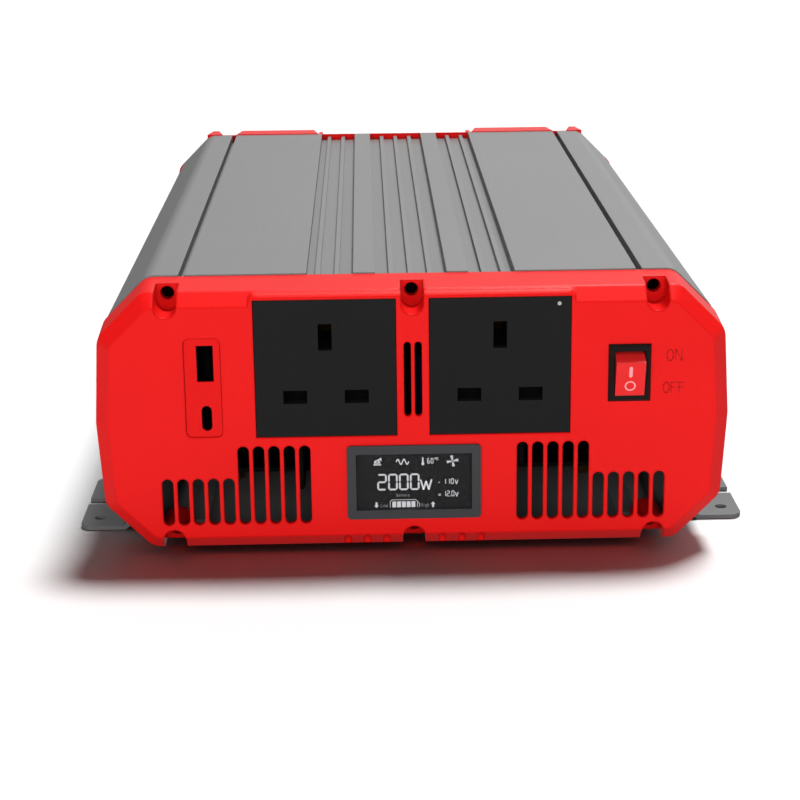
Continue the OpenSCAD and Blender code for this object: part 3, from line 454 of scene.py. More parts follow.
@dataclass(frozen=True)
class Glass(Finish):
    """Clear or smoked hard plastic cover with faint wipe marks."""

    colour: Colour
    alpha: float
    rough: float = 0.12

    def build(self) -> bpy.types.Material:
        """Wipe marks are long soft noise in the roughness."""
        g = Graph(self.name)
        wipe = g.noise(0.006, 3, (0.3, 1.0, 1.0))
        g.material.surface_render_method = "BLENDED"
        return g.close(
            {
                "Base Color": g.blend(wipe, shade(self.colour, 0.9), shade(self.colour, 1.1)),
                "Roughness": self.rough + wipe * 0.08,
                "Alpha": self.alpha + (wipe - 0.5) * 0.02,
                "Specular IOR Level": 0.06,
                "Normal": g.relief(wipe, 0.0000005),
            }
        )


@dataclass(frozen=True)
class Lit(Finish):
    """A lit display segment behind a fine dot mask."""

    colour: Colour
    strength: float

    def build(self) -> bpy.types.Material:
        """The light dips a little between dots 0.12 mm apart and towards slow blotches."""
        g = Graph(self.name)
        dots = g.along(Axis.X).wave(0.00012) * g.along(Axis.Z).wave(0.00012)
        level = 0.9 + dots * 0.1 + (g.noise(0.006) - 0.5) * 0.1
        lit = g.blend(level, shade(self.colour, 0.0), self.colour)
        return g.close(
            {
                "Base Color": (*shade(self.colour, 0.5), 1.0),
                "Emission Color": lit,
                "Emission Strength": self.strength,
                "Roughness": 0.4 + dots * 0.1,
            }
        )


@dataclass(frozen=True)
class Printed(Finish):
    """Pad-printed paint, a little uneven where it is thin; also used for dark strokes that paint the shade of engraved
    grooves.
    """

    colour: Colour
    under: Colour
    rough: float = 0.45

    def build(self) -> bpy.types.Material:
        """Thin spots let the plastic below show through."""
        g = Graph(self.name)
        thin = g.noise(0.0004, 3).step(0.62, 0.8)
        return g.close(
            {
                "Base Color": g.blend(thin * 0.5, self.colour, self.under),
                "Roughness": self.rough + thin * 0.1,
                "Specular IOR Level": 0.2,
                "Normal": g.relief(g.noise(0.0003), 0.000008),
            }
        )


@dataclass(frozen=True)
class Ferrite(Finish):
    """Sintered ferrite: matt charcoal with fine pits."""

    colour: Colour = (0.035, 0.034, 0.036)

    def build(self) -> bpy.types.Material:
        """Pits are cells with a small radius."""
        g = Graph(self.name)
        pits = g.cells(0.0008).step(0.12, 0.3)
        cloud = g.noise(0.008, 3)
        return g.close(
            {
                "Base Color": g.blend(cloud, shade(self.colour, 0.7), shade(self.colour, 1.4)),
                "Roughness": 0.72 - pits * 0.15,
                "Normal": g.relief(pits, 0.00006, 0.0003),
            }
        )


@dataclass(frozen=True)
class Floor(Finish):
    """Plain pale studio floor."""

    colour: Colour = (0.76, 0.76, 0.76)

    def build(self) -> bpy.types.Material:
        """Almost even, with very slow clouds."""
        g = Graph(self.name)
        cloud = g.noise(0.4, 2)
        tint = g.blend(cloud, shade(self.colour, 0.99), shade(self.colour, 1.01))
        return g.close({"Base Color": tint, "Roughness": 0.9, "Specular IOR Level": 0.0})


RED = (0.60, 0.0062, 0.0058)
BLACK = (0.008, 0.008, 0.0085)


class Finishes(Enum):
    """The finishes of this inverter's pieces."""

    CASE = Coated("case_coat", (0.15, 0.15, 0.15), rough=0.42, specular=0.5)
    FOOT = Coated("foot_coat", (0.10, 0.10, 0.10), rough=0.42, specular=0.4, lines=Axis.X)
    BEZEL = Moulded("bezel_red", RED, rough=0.38, specular=0.16, edge=0.0013)
    USB_RED = Moulded("usb_red", shade(RED, 0.95), rough=0.42, specular=0.12, edge=0.0003)
    ROCKER = Moulded("rocker_red", (0.44, 0.006, 0.006), rough=0.3, specular=0.2, edge=0.0004, grain=0.0009)
    KNOB_RED = Moulded("knob_red", (0.50, 0.01, 0.008), rough=0.3, specular=0.4, edge=0.0003)
    OUTLET = Moulded("outlet_black", (0.0115, 0.0115, 0.0115), rough=0.52, specular=0.14, edge=0.0003)
    # The shutters' near-black, darker than the outlet moulding, is painted shade of the deep pin holes.
    SHUTTER = Moulded("shutter_black_painted_shade", (0.002, 0.002, 0.002), rough=0.6, specular=0.08, edge=0.0002)
    BLACK = Moulded("moulded_black", BLACK, rough=0.42, specular=0.3, edge=0.0003)
    SWITCH = Moulded("switch_black", (0.009, 0.009, 0.0085), rough=0.4, specular=0.2, edge=0.0003)
    TRIM = Moulded("display_trim", (0.019, 0.019, 0.019), rough=0.45, specular=0.15, edge=0.0004)
    CHIP = Moulded("chip_black", (0.012, 0.012, 0.012), rough=0.6, specular=0.3, edge=0.0002)
    SLEEVE = Moulded("can_sleeve", (0.012, 0.016, 0.05), rough=0.3, specular=0.4, edge=0.0002)
    FUSE = Moulded("fuse_orange", (0.62, 0.16, 0.012), rough=0.3, specular=0.4, edge=0.0003)
    LEAD = Moulded("lead_sleeve", (0.012, 0.011, 0.010), rough=0.5, specular=0.2, edge=0.0002)
    TAPE = Moulded("winding_tape", (0.50, 0.33, 0.03), rough=0.3, specular=0.4, edge=0.0003)
    SCREW = Metal("screw_black", (0.012, 0.012, 0.012), rough=0.5, stain=0.1)
    ZINC = Metal("zinc_plate", (0.58, 0.58, 0.59), rough=0.27)
    WIRE = Metal("guard_wire", (0.62, 0.62, 0.62), rough=0.2, stain=0.06)
    GILT = Metal("gilt", (0.62, 0.42, 0.12), rough=0.3, brushed=Axis.Y)
    BRASS = Metal("brass", (0.45, 0.30, 0.11), rough=0.32)
    COPPER = Metal("bus_copper", (0.72, 0.32, 0.18), rough=0.3, brushed=Axis.Z, stain=0.2)
    # The port shells' colour, far darker than nickel, is painted shade of the ports' deep insides.
    SHADED_PORT = Metal("port_nickel_painted_shade", (0.035, 0.035, 0.037), rough=0.4, brushed=Axis.Y)
    SINK = Metal("sink_anodised", (0.03, 0.03, 0.032), rough=0.5, brushed=Axis.Y, stain=0.1)
    BOARD = Board("board_painted_shade")
    ENAMEL = Wound("enamelled_wire")
    FERRITE = Ferrite("ferrite")
    COVER = Glass("display_cover", (0.004, 0.004, 0.004), 0.04)
    SCREEN = Glass("display_black", (0.0016, 0.0012, 0.0012), 1.0, 0.3)
    LENS = Glass("led_lens", (0.3, 0.34, 0.30), 0.8)
    SEGMENT = Lit("segment_white", (0.95, 0.95, 1.0), 1.25)
    FAINT = Lit("segment_faint", (0.5, 0.5, 0.53), 0.55)
    MARK = Printed("mark_pale", (0.88, 0.26, 0.27), (0.5, 0.02, 0.02))
    # Dark red of the engraved words: painted shade of their grooves.
    ENGRAVED = Printed("engraving_painted_shade", (0.36, 0.006, 0.006), (0.5, 0.01, 0.01))
    FLOOR = Floor("studio_floor")


# ---- surfaces --------------------------------------------------------------------------------


@dataclass
class Surface:
    """Vertices and faces of one or more closed skins, in metres."""

    points: np.ndarray
    faces: list

    @staticmethod
    def join(parts: Iterable["Surface"]) -> "Surface":
        """Several surfaces as one.

        Args:
            parts: the surfaces, in order.

        Returns:
            One surface with the faces renumbered.
        """
        points: list = []
        faces: list = []
        start = 0
        for part in parts:
            points.append(part.points)
            faces.extend(tuple(int(i) + start for i in face) for face in part.faces)
            start += len(part.points)
        return Surface(np.concatenate(points), faces)

    @staticmethod
    def grid(points: np.ndarray, caps: bool = True, ring: bool = False) -> "Surface":
        """A skin over a grid of closed cross-sections.

        Args:
            points: array of shape (sections, around, 3); each section is a closed loop.
            caps: whether the first and last sections are closed by a face.
            ring: whether the last section joins the first.

        Returns:
            The skin, with quads between neighbouring sections.
        """
        rows, around = points.shape[:2]
        i, j = np.meshgrid(np.arange(rows if ring else rows - 1), np.arange(around), indexing="ij")
        after, beside = (i + 1) % rows, (j + 1) % around
        quads = np.stack(
            [i * around + j, i * around + beside, after * around + beside, after * around + j], -1
        ).reshape(-1, 4)
        faces = quads.tolist()
        if caps and not ring:
            faces.append(list(range(around))[::-1])
            faces.append(list(range((rows - 1) * around, rows * around)))
        return Surface(points.reshape(-1, 3), faces)

    def object(self, name: str, finish: Finishes, body: str, slot: str, smooth: bool = True) -> bpy.types.Object:
        """Makes the mesh object, with faces outwards, and lets it ride on a CAD body.

        Args:
            name: the piece's name.
            finish: the finish it wears.
            body: the CAD body it moves with.
            slot: the record's material slot; not used.
            smooth: whether faces blend into each other below 40 degrees.

        Returns:
            The new piece.
        """
        mesh = bpy.data.meshes.new(name)
        mesh.from_pydata(self.points.tolist(), [], self.faces)
        mesh.validate()
        piece = bpy.data.objects.new(name, mesh)
        bpy.context.scene.collection.objects.link(piece)
        outwards(mesh)
        if smooth:
            mesh.shade_smooth()
            mesh.set_sharp_from_angle(angle=math.radians(40))
        finish.value.dress(piece)
        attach(piece, body)
        LOG.info("%s: %d faces on %s", name, len(mesh.polygons), body)
        return piece


def outwards(mesh: bpy.types.Mesh) -> None:
    """Turns every face of a mesh outwards."""
    import bmesh

    work = bmesh.new()
    work.from_mesh(mesh)
    bmesh.ops.recalc_face_normals(work, faces=work.faces)
    work.to_mesh(mesh)
    work.free()


def circle(radius: float, sides: int, phase: float = 0.0) -> np.ndarray:
    """Points of a circle in its plane: radius times cosine and sine of equal steps."""
    angle = np.linspace(0, 2 * np.pi, sides, endpoint=False) + phase
    return radius * np.stack([np.cos(angle), np.sin(angle)], -1)


def tube(path: np.ndarray, radius: float, sides: int = 12, up: Any = (0.0, 0.0, 1.0), ring: bool = False) -> Surface:
    """A round bar along a path.

    Each section is a circle in the plane of side = tangent x up and lift = side x tangent.

    Args:
        path: points of the centre line, shape (n, 3).
        radius: the bar's radius.
        sides: points in each section.
        up: a direction that the path never follows, one for all or one for each point.
        ring: whether the path closes on itself.

    Returns:
        The bar's skin.
    """
    if ring:
        tangent = np.roll(path, -1, 0) - np.roll(path, 1, 0)
    else:
        tangent = np.gradient(path, axis=0)
    tangent /= np.linalg.norm(tangent, axis=1, keepdims=True)
    side = np.cross(tangent, np.array(up))
    side /= np.linalg.norm(side, axis=1, keepdims=True)
    lift = np.cross(side, tangent)
    loop = circle(radius, sides)
    points = path[:, None] + loop[None, :, :1] * side[:, None] + loop[None, :, 1:] * lift[:, None]
    return Surface.grid(points, caps=not ring, ring=ring)


def lathe(profile: np.ndarray, centre: Point, axis: Axis, sides: int = 48) -> Surface:
    """A turned shape: each profile point (radius, height) swept round an axis.

    Args:
        profile: points of the outline from the lower pole to the upper, shape (n, 2).
        centre: the point of the axis at height 0.
        axis: the axis' direction.
        sides: points in each ring.

    Returns:
        The turned skin, closed by a face at each end.
    """
    loop = circle(1.0, sides)
    radial = profile[:, None, :1] * loop[None]
    height = np.broadcast_to(profile[:, None, 1:], (len(profile), sides, 1))
    order = {Axis.X: (2, 0, 1), Axis.Y: (1, 2, 0), Axis.Z: (0, 1, 2)}[axis]
    points = np.concatenate([radial, height], -1)[..., np.array(order)]
    return Surface.grid(points + np.array(centre))


def strokes(lines: np.ndarray, width: Any, thickness: float, sides: int = 16) -> Surface:
    """Flat strokes with round ends, as thin plates in their own X-Z plane.

    Each outline is a half circle round one end and a half circle round the other: the end plus
    half the width times (cosine, sine) of an angle measured from the stroke's direction.

    Args:
        lines: end points, shape (n, 2, 2), as (across, up) in metres.
        width: the stroke's full width, one value or one for each line.
        thickness: the plate's thickness.
        sides: points in each outline.

    Returns:
        All strokes as closed plates between y = 0 and y = thickness.
    """
    count = len(lines)
    half = np.broadcast_to(np.asarray(width, float) / 2, (count,))
    run = lines[:, 1] - lines[:, 0]
    heading = np.arctan2(run[:, 1], run[:, 0])
    quarter = np.linspace(-np.pi / 2, np.pi / 2, sides // 2)
    angle = np.concatenate([quarter, quarter + np.pi])[None] + heading[:, None]
    ends = np.repeat(lines[:, ::-1], sides // 2, axis=1)
    outline = ends + half[:, None, None] * np.stack([np.cos(angle), np.sin(angle)], -1)
    return plates(outline, thickness)


def plates(outlines: np.ndarray, thickness: float) -> Surface:
    """Thin plates from equal-length outlines.

    Args:
        outlines: shape (n, around, 2), as (across, up) in metres.
        thickness: the plates' thickness along +Y.

    Returns:
        All plates between y = 0 and y = thickness.
    """
    count, around = outlines.shape[:2]
    points = np.zeros((count, 2, around, 3))
    points[..., 0] = outlines[:, None, :, 0]
    points[..., 2] = outlines[:, None, :, 1]
    points[:, 1, :, 1] = thickness
    return Surface.join(Surface.grid(points[i]) for i in range(count))


def rounded(corners: np.ndarray, radius: float, steps: int = 8) -> np.ndarray:
    """A path through corners, each rounded by a parabola.

    Between a point A before the corner P and a point B after it, the path is
    (1-t)^2 A + 2t(1-t) P + t^2 B for t from 0 to 1.

    Args:
        corners: the path's ends and corners, shape (n, 3).
        radius: distance from a corner to where its rounding starts and ends.
        steps: points in each rounding.

    Returns:
        The path's points.
    """
    run = np.diff(corners, axis=0)
    run /= np.linalg.norm(run, axis=1, keepdims=True)
    before, bend, after = corners[1:-1] - radius * run[:-1], corners[1:-1], corners[1:-1] + radius * run[1:]
    t = np.linspace(0, 1, steps)[None, :, None]
    arcs = (1 - t) ** 2 * before[:, None] + 2 * t * (1 - t) * bend[:, None] + t**2 * after[:, None]
    return np.concatenate([corners[:1], arcs.reshape(-1, 3), corners[-1:]])


def middle(node: str) -> np.ndarray:
    """The centre of a node's box."""
    low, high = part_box(node)
    return (np.array(low) + np.array(high)) / 2


def polyline(points: Sequence[tuple[float, float]], closed: bool = False) -> np.ndarray:
    """A chain of points as line ends, shape (n, 2, 2)."""
    chain = np.array(points, float)
    following = np.roll(chain, -1, 0) if closed else chain[1:]
    return np.stack([chain if closed else chain[:-1], following], 1)


# ---- lettering -------------------------------------------------------------------------------

# Each letter is a set of chains on a cell one wide and one high.
LETTERS: dict[str, list] = {
    "O": [[(0.3, 0), (0.7, 0), (1, 0.25), (1, 0.75), (0.7, 1), (0.3, 1), (0, 0.75), (0, 0.25), (0.3, 0)]],
    "N": [[(0, 0), (0, 1), (1, 0), (1, 1)]],
    "F": [[(0, 0), (0, 1), (1, 1)], [(0, 0.52), (0.8, 0.52)]],
    "L": [[(0, 1), (0, 0), (0.8, 0)]],
    "H": [[(0, 0), (0, 1)], [(1, 0), (1, 1)], [(0, 0.5), (1, 0.5)]],
    "B": [[(0, 0), (0, 1), (0.7, 1), (0.9, 0.78), (0.7, 0.53), (0, 0.53)], [(0.7, 0.53), (1, 0.27), (0.7, 0), (0, 0)]],
    "C": [[(1, 0.85), (0.7, 1), (0.3, 1), (0, 0.7), (0, 0.3), (0.3, 0), (0.7, 0), (1, 0.15)]],
    "o": [[(0.3, 0), (0.7, 0), (1, 0.2), (1, 0.45), (0.7, 0.65), (0.3, 0.65), (0, 0.45), (0, 0.2), (0.3, 0)]],
    "w": [[(0, 0.65), (0.25, 0), (0.5, 0.55), (0.75, 0), (1, 0.65)]],
    "v": [[(0, 0.65), (0.5, 0), (1, 0.65)]],
    "i": [[(0.5, 0), (0.5, 0.6)], [(0.5, 0.85), (0.5, 0.9)]],
    "g": [[(0.9, 0.6), (0.9, -0.2), (0.6, -0.35), (0.2, -0.3)], [(0.9, 0.5), (0.3, 0.6), (0.05, 0.3), (0.3, 0), (0.9, 0.12)]],
    "h": [[(0.1, 0), (0.1, 1)], [(0.1, 0.5), (0.5, 0.65), (0.85, 0.5), (0.85, 0)]],
    "a": [[(0.1, 0.6), (0.8, 0.6), (0.9, 0)], [(0.9, 0.35), (0.1, 0.3), (0.1, 0), (0.9, 0.08)]],
    "t": [[(0.45, 0.95), (0.45, 0.05), (0.85, 0)], [(0.1, 0.65), (0.85, 0.65)]],
    "e": [[(0.05, 0.35), (0.95, 0.35), (0.8, 0.63), (0.2, 0.63), (0.05, 0.3), (0.2, 0), (0.9, 0.03)]],
    "r": [[(0.15, 0), (0.15, 0.65)], [(0.15, 0.45), (0.5, 0.65), (0.85, 0.6)]],
    "y": [[(0.05, 0.65), (0.5, 0.05)], [(0.95, 0.65), (0.3, -0.35)]],
}
# Lit bars of a seven-bar figure: top, upper right, lower right, bottom, lower left, upper left, middle.
FIGURES = {
    "0": (1, 1, 1, 1, 1, 1, 0),
    "1": (0, 1, 1, 0, 0, 0, 0),
    "2": (1, 1, 0, 1, 1, 0, 1),
    "6": (1, 0, 1, 1, 1, 1, 1),
}


def word(text: str, left: float, foot: float, width: float, height: float, gap: float) -> np.ndarray:
    """The strokes of a word.

    Args:
        text: letters found in LETTERS.
        left: where the first letter starts.
        foot: the height of the base line.
        width: the width of one letter.
        height: the height of a capital.
        gap: the space between letters.

    Returns:
        Line ends, shape (n, 2, 2).
    """
    parts = []
    for place, letter in enumerate(text):
        shift = np.array([left + place * (width + gap), foot])
        for chain in LETTERS[letter]:
            parts.append(polyline(chain) * np.array([width, height]) + shift)
    return np.concatenate(parts)


def figures(text: str, left: float, foot: float, width: float, height: float, pitch: float, bar: float) -> np.ndarray:
    """Seven-bar figures as six-cornered bars.

    A bar's outline is its centre line widened by half a bar, with its ends cut to 45 degrees.

    Args:
        text: figures found in FIGURES.
        left: where the first figure starts.
        foot: the figures' lower edge.
        width: width of a figure.
        height: height of a figure.
        pitch: distance from one figure to the next.
        bar: thickness of a bar.

    Returns:
        Outlines, shape (n, 6, 2).
    """
    inset, gap, half = bar / 2, bar * 0.1, bar / 2
    x0, x1 = inset, width - inset
    z0, z1, z2 = inset, height / 2, height - inset
    lines = np.array(
        [
            [[x0, z2], [x1, z2]],
            [[x1, z2], [x1, z1]],
            [[x1, z1], [x1, z0]],
            [[x1, z0], [x0, z0]],
            [[x0, z0], [x0, z1]],
            [[x0, z1], [x0, z2]],
            [[x0, z1], [x1, z1]],
        ]
    )
    run = lines[:, 1] - lines[:, 0]
    run /= np.linalg.norm(run, axis=1, keepdims=True)
    side = np.stack([-run[:, 1], run[:, 0]], -1) * half
    start, end = lines[:, 0] + run * gap, lines[:, 1] - run * gap
    outline = np.stack(
        [start, start + run * half - side, end - run * half - side, end, end - run * half + side, start + run * half + side], 1
    )
    parts = []
    for place, figure in enumerate(text):
        lit = np.array(FIGURES[figure], bool)
        parts.append(outline[lit] + np.array([left + place * pitch, foot]))
    return np.concatenate(parts)


# ---- the frame's pieces ----------------------------------------------------------------------

DRESS: dict[Finishes, Sequence[str]] = {
    Finishes.CASE: ("top_panel", "side_rail_left", "side_rail_right", "base_plate"),
    Finishes.FOOT: ("foot_front_left", "foot_front_right", "foot_rear_left", "foot_rear_right"),
    Finishes.BEZEL: ("front_bezel", "rear_bezel"),
    Finishes.USB_RED: ("usb_panel",),
    Finishes.ROCKER: ("switch_rocker",),
    Finishes.KNOB_RED: ("terminal_knob_positive", "terminal_base_positive"),
    Finishes.OUTLET: ("outlet_left", "outlet_right"),
    Finishes.SHUTTER: ("outlet_shutter_left", "outlet_shutter_right"),
    Finishes.BLACK: (
        "fan_frame_left",
        "fan_frame_right",
        "fan_rotor_left",
        "fan_rotor_right",
        "terminal_knob_negative",
        "terminal_base_negative",
    ),
    Finishes.SWITCH: ("switch_housing",),
    Finishes.TRIM: ("display_frame",),
    Finishes.CHIP: ("power_transistors",),
    Finishes.SLEEVE: ("capacitors",),
    Finishes.FUSE: ("fuses",),
    Finishes.LEAD: ("outlet_wires",),
    Finishes.SCREW: ("front_bezel_screws", "rear_bezel_screws"),
    Finishes.ZINC: ("foot_screws", "fan_screws", "terminal_washer_positive", "terminal_washer_negative", "switch_tabs"),
    Finishes.WIRE: ("fan_guard_left", "fan_guard_right"),
    Finishes.BRASS: (
        "outlet_contacts_left",
        "outlet_contacts_right",
        "terminal_stud_positive",
        "terminal_stud_negative",
        "earth_screw",
        "board_standoffs",
    ),
    Finishes.COPPER: ("bus_bars",),
    Finishes.SHADED_PORT: ("usb_a_port", "usb_c_port"),
    Finishes.SINK: ("heat_sink_left", "heat_sink_right"),
    Finishes.BOARD: ("power_board", "control_board", "display_board", "usb_board"),
    Finishes.FERRITE: ("transformers",),
    Finishes.ENAMEL: ("filter_choke",),
    Finishes.COVER: ("display_window",),
    Finishes.SCREEN: ("display_glass",),
    Finishes.LENS: ("outlet_led",),
}


@dataclass
class Readout:
    """The lit segments of the display, on the front of its glass."""

    thickness: float = 0.00004
    bar: float = 0.00066
    fine: float = 0.0003

    def build(self) -> None:
        """Places the figures, symbols and battery bar about the middle of the glass."""
        low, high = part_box("display_glass")
        self.centre = np.array([(low.x + high.x) / 2, low.y - self.thickness, (low.z + high.z) / 2])
        self._piece("readout_figures", Finishes.SEGMENT, self._figures())
        self._piece("readout_symbols", Finishes.SEGMENT, self._symbols())
        self._piece("readout_battery", Finishes.SEGMENT, self._battery())
        self._piece("readout_words", Finishes.FAINT, self._words())

    def _piece(self, name: str, finish: Finishes, surface: Surface) -> None:
        """Moves a surface given about the glass's middle into place and makes its object."""
        surface.points = surface.points + self.centre
        surface.object(name, finish, "case", "display_lcd", smooth=False)

    def _figures(self) -> Surface:
        """The load in large figures, and temperature and voltages in small ones."""
        big = figures("2000", -13.5 * MM, -3.95 * MM, 3.55 * MM, 6.4 * MM, 4.0 * MM, self.bar)
        small = figures("60", 4.9 * MM, 6.1 * MM, 1.0 * MM, 2.2 * MM, 1.3 * MM, self.fine)
        mains = figures("110", 10.6 * MM, -1.9 * MM, 1.15 * MM, 2.2 * MM, 1.45 * MM, self.fine)
        battery = figures("12", 10.6 * MM, -6.7 * MM, 1.15 * MM, 2.3 * MM, 1.35 * MM, self.fine)
        tenths = figures("0", 13.7 * MM, -6.7 * MM, 1.15 * MM, 2.3 * MM, 1.4 * MM, self.fine)
        units = [
            strokes(word("w", 2.5 * MM, -3.7 * MM, 3.9 * MM, 5.3 * MM, 0), 0.62 * MM, self.thickness),
            strokes(word("v", 15.1 * MM, -1.85 * MM, 1.0 * MM, 2.2 * MM, 0), self.fine, self.thickness),
            strokes(word("v", 15.2 * MM, -6.65 * MM, 1.0 * MM, 2.2 * MM, 0), self.fine, self.thickness),
            strokes(polyline([(13.3 * MM, -6.55 * MM), (13.31 * MM, -6.55 * MM)]), 0.35 * MM, self.thickness),
        ]
        groups = [plates(group, self.thickness) for group in (big, small, mains, battery, tenths)]
        return Surface.join([*groups, *units])

    def _symbols(self) -> Surface:
        """A plug, a sine wave, a thermometer, a fan wheel and two arrows."""
        turn = np.linspace(0, 4 * np.pi, 25)
        sine = polyline(list(zip(np.interp(turn, (0, 4 * np.pi), (-6.4, -1.9)) * MM, (7.0 + 1.0 * np.sin(turn)) * MM)))
        plug = np.concatenate(
            [
                polyline([(-14.6 * MM, 6.0 * MM), (-12.1 * MM, 6.0 * MM)]),
                polyline([(-14.3 * MM, 6.7 * MM), (-12.5 * MM, 6.7 * MM), (-12.9 * MM, 7.7 * MM), (-14.1 * MM, 7.4 * MM)], True),
                polyline([(-13.2 * MM, 7.7 * MM), (-12.1 * MM, 8.4 * MM), (-12.0 * MM, 7.6 * MM)]),
            ]
        )
        stem = polyline([(3.3 * MM, 6.6 * MM), (3.3 * MM, 8.3 * MM)])
        bulb = polyline([(3.3 * MM, 6.1 * MM), (3.31 * MM, 6.1 * MM)])
        degree = polyline([(tuple(p)) for p in circle(0.25 * MM, 8) + np.array([7.9, 8.1]) * MM], True)
        celsius = word("C", 8.35 * MM, 7.5 * MM, 0.6 * MM, 0.9 * MM, 0)
        waves = np.array([[[9.0, -1.3], [9.5, -1.05]], [[9.0, -6.2], [9.8, -6.2]], [[9.0, -5.75], [9.8, -5.75]]]) * MM
        return Surface.join(
            [
                strokes(sine, 0.34 * MM, self.thickness, 8),
                strokes(plug, 0.42 * MM, self.thickness),
                strokes(stem, 0.55 * MM, self.thickness),
                strokes(bulb, 1.1 * MM, self.thickness),
                strokes(degree, 0.16 * MM, self.thickness, 8),
                strokes(celsius, 0.16 * MM, self.thickness, 8),
                strokes(waves, 0.22 * MM, self.thickness, 8),
                plates(self._wheel(), self.thickness),
                plates(np.stack([self._arrow(-13.85, 1), self._arrow(6.95, -1)]), self.thickness),
            ]
        )

    def _wheel(self) -> np.ndarray:
        """Four curved blades: each outline leans forward as its radius grows."""
        reach = np.linspace(0.25, 2.1, 8)
        lead = 0.16 + 0.24 * reach
        front = np.stack([reach, lead * 1.05], -1)
        back = np.stack([reach, -0.12 - 0.12 * reach], -1)[::-1]
        blade = np.concatenate([back, front])
        angle = np.arange(4) * np.pi / 2 + 0.1
        turn = np.stack([np.cos(angle), -np.sin(angle), np.sin(angle), np.cos(angle)], -1).reshape(4, 2, 2)
        return (blade[None] @ turn.transpose(0, 2, 1) + np.array([14.2, 7.0])) * MM

    def _arrow(self, across: float, sign: int) -> np.ndarray:
        """A block arrow: a shaft with a head at one end, downwards for sign 1."""
        shape = np.array([[-0.38, 1.1], [-0.38, -0.1], [-0.85, -0.1], [0, -1.1], [0.85, -0.1], [0.38, -0.1], [0.38, 1.1]])
        return (shape * np.array([1, sign]) + np.array([across, -9.65])) * MM

    def _battery(self) -> Surface:
        """A round-cornered case with a cap and five full cells."""
        outline = [(-8.8, -10.6), (-8.8, -8.3), (-8.2, -7.7), (0.6, -7.7), (1.2, -8.3), (1.2, -10.6)]
        case = polyline([(x * MM, z * MM) for x, z in outline])
        cap = polyline([(1.55 * MM, -8.6 * MM), (1.9 * MM, -9.2 * MM), (1.9 * MM, -10.6 * MM)])
        left = -8.05 + np.arange(5) * 1.76
        cell = np.array([[0, -10.6], [1.42, -10.6], [1.42, -8.35], [0, -8.35]])
        cells = (cell[None] + np.stack([left, np.zeros(5)], -1)[:, None]) * MM
        return Surface.join([strokes(np.concatenate([case, cap]), 0.18 * MM, self.thickness, 8), plates(cells, self.thickness)])

    def _words(self) -> Surface:
        """Small dim words beside the battery bar."""
        lines = np.concatenate(
            [
                word("Battery", -6.4 * MM, -6.35 * MM, 0.5 * MM, 0.95 * MM, 0.2 * MM),
                word("Low", -12.2 * MM, -10.4 * MM, 0.65 * MM, 1.2 * MM, 0.25 * MM),
                word("High", 2.6 * MM, -10.4 * MM, 0.55 * MM, 1.2 * MM, 0.2 * MM),
            ]
        )
        return strokes(lines, 0.17 * MM, self.thickness, 8)


@dataclass
class SwitchMarks:
    """The rocker's two marks and the words beside the switch."""

    stroke: float = 0.00042
    proud: float = 0.00003
    tilt: float = 15.5
    pivot_back: float = 0.0029

    def build(self) -> None:
        """Marks ride on the rocker; the words are on the front bezel."""
        self._marks()
        self._words()

    def _marks(self) -> None:
        """A bar and a ring on the rocker's flat face, tilted with it about its pivot."""
        housing = middle("switch_housing")
        pivot = np.array([housing[0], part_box("front_bezel")[0].y + self.pivot_back, housing[2]])
        tilt = math.radians(self.tilt)
        bar = strokes(polyline([(0, 1.5 * MM), (0, 4.7 * MM)]), 1.25 * MM, self.proud, 24)
        ring_path = np.concatenate([circle(1.75 * MM, 48), np.zeros((48, 1))], 1)[:, [0, 2, 1]] + np.array([0, 0, -2.75 * MM])
        loop = np.stack([circle(0.28 * MM, 8)[:, 0], circle(self.proud, 8)[:, 1]], -1)
        outward = ring_path - np.array([0, 0, -2.75 * MM])
        outward /= np.linalg.norm(outward, axis=1, keepdims=True)
        ring = Surface.grid(
            ring_path[:, None] + loop[None, :, :1] * outward[:, None] + loop[None, :, 1:] * np.array([0, 1, 0]), ring=True
        )
        bar.points[:, 1] -= self.proud
        both = Surface.join([bar, ring])
        both.points[:, 1] -= 6.5 * MM
        turn = np.array(Matrix.Rotation(tilt, 3, "X"))
        both.points = both.points @ turn.T + pivot
        both.object("rocker_marks", Finishes.MARK, "rocker", "rocker_red", smooth=False)

    def _words(self) -> None:
        """Thin engraved words, one level with each end of the switch; their dark red is painted shade of the grooves,
        drawn as proud strokes.
        """
        low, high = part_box("switch_housing")
        face = low.y + 1.6 * MM
        lines = np.concatenate(
            [
                word("ON", high.x + 5.8 * MM, high.z - 6.4 * MM, 2.2 * MM, 3.9 * MM, 0.95 * MM),
                word("OFF", high.x + 4.8 * MM, low.z + 3.0 * MM, 2.05 * MM, 3.7 * MM, 0.75 * MM),
            ]
        )
        surface = strokes(lines, self.stroke, self.proud, 12)
        surface.points[:, 1] += face - self.proud
        surface.object("switch_words", Finishes.ENGRAVED, "case", "red_plastic", smooth=False)


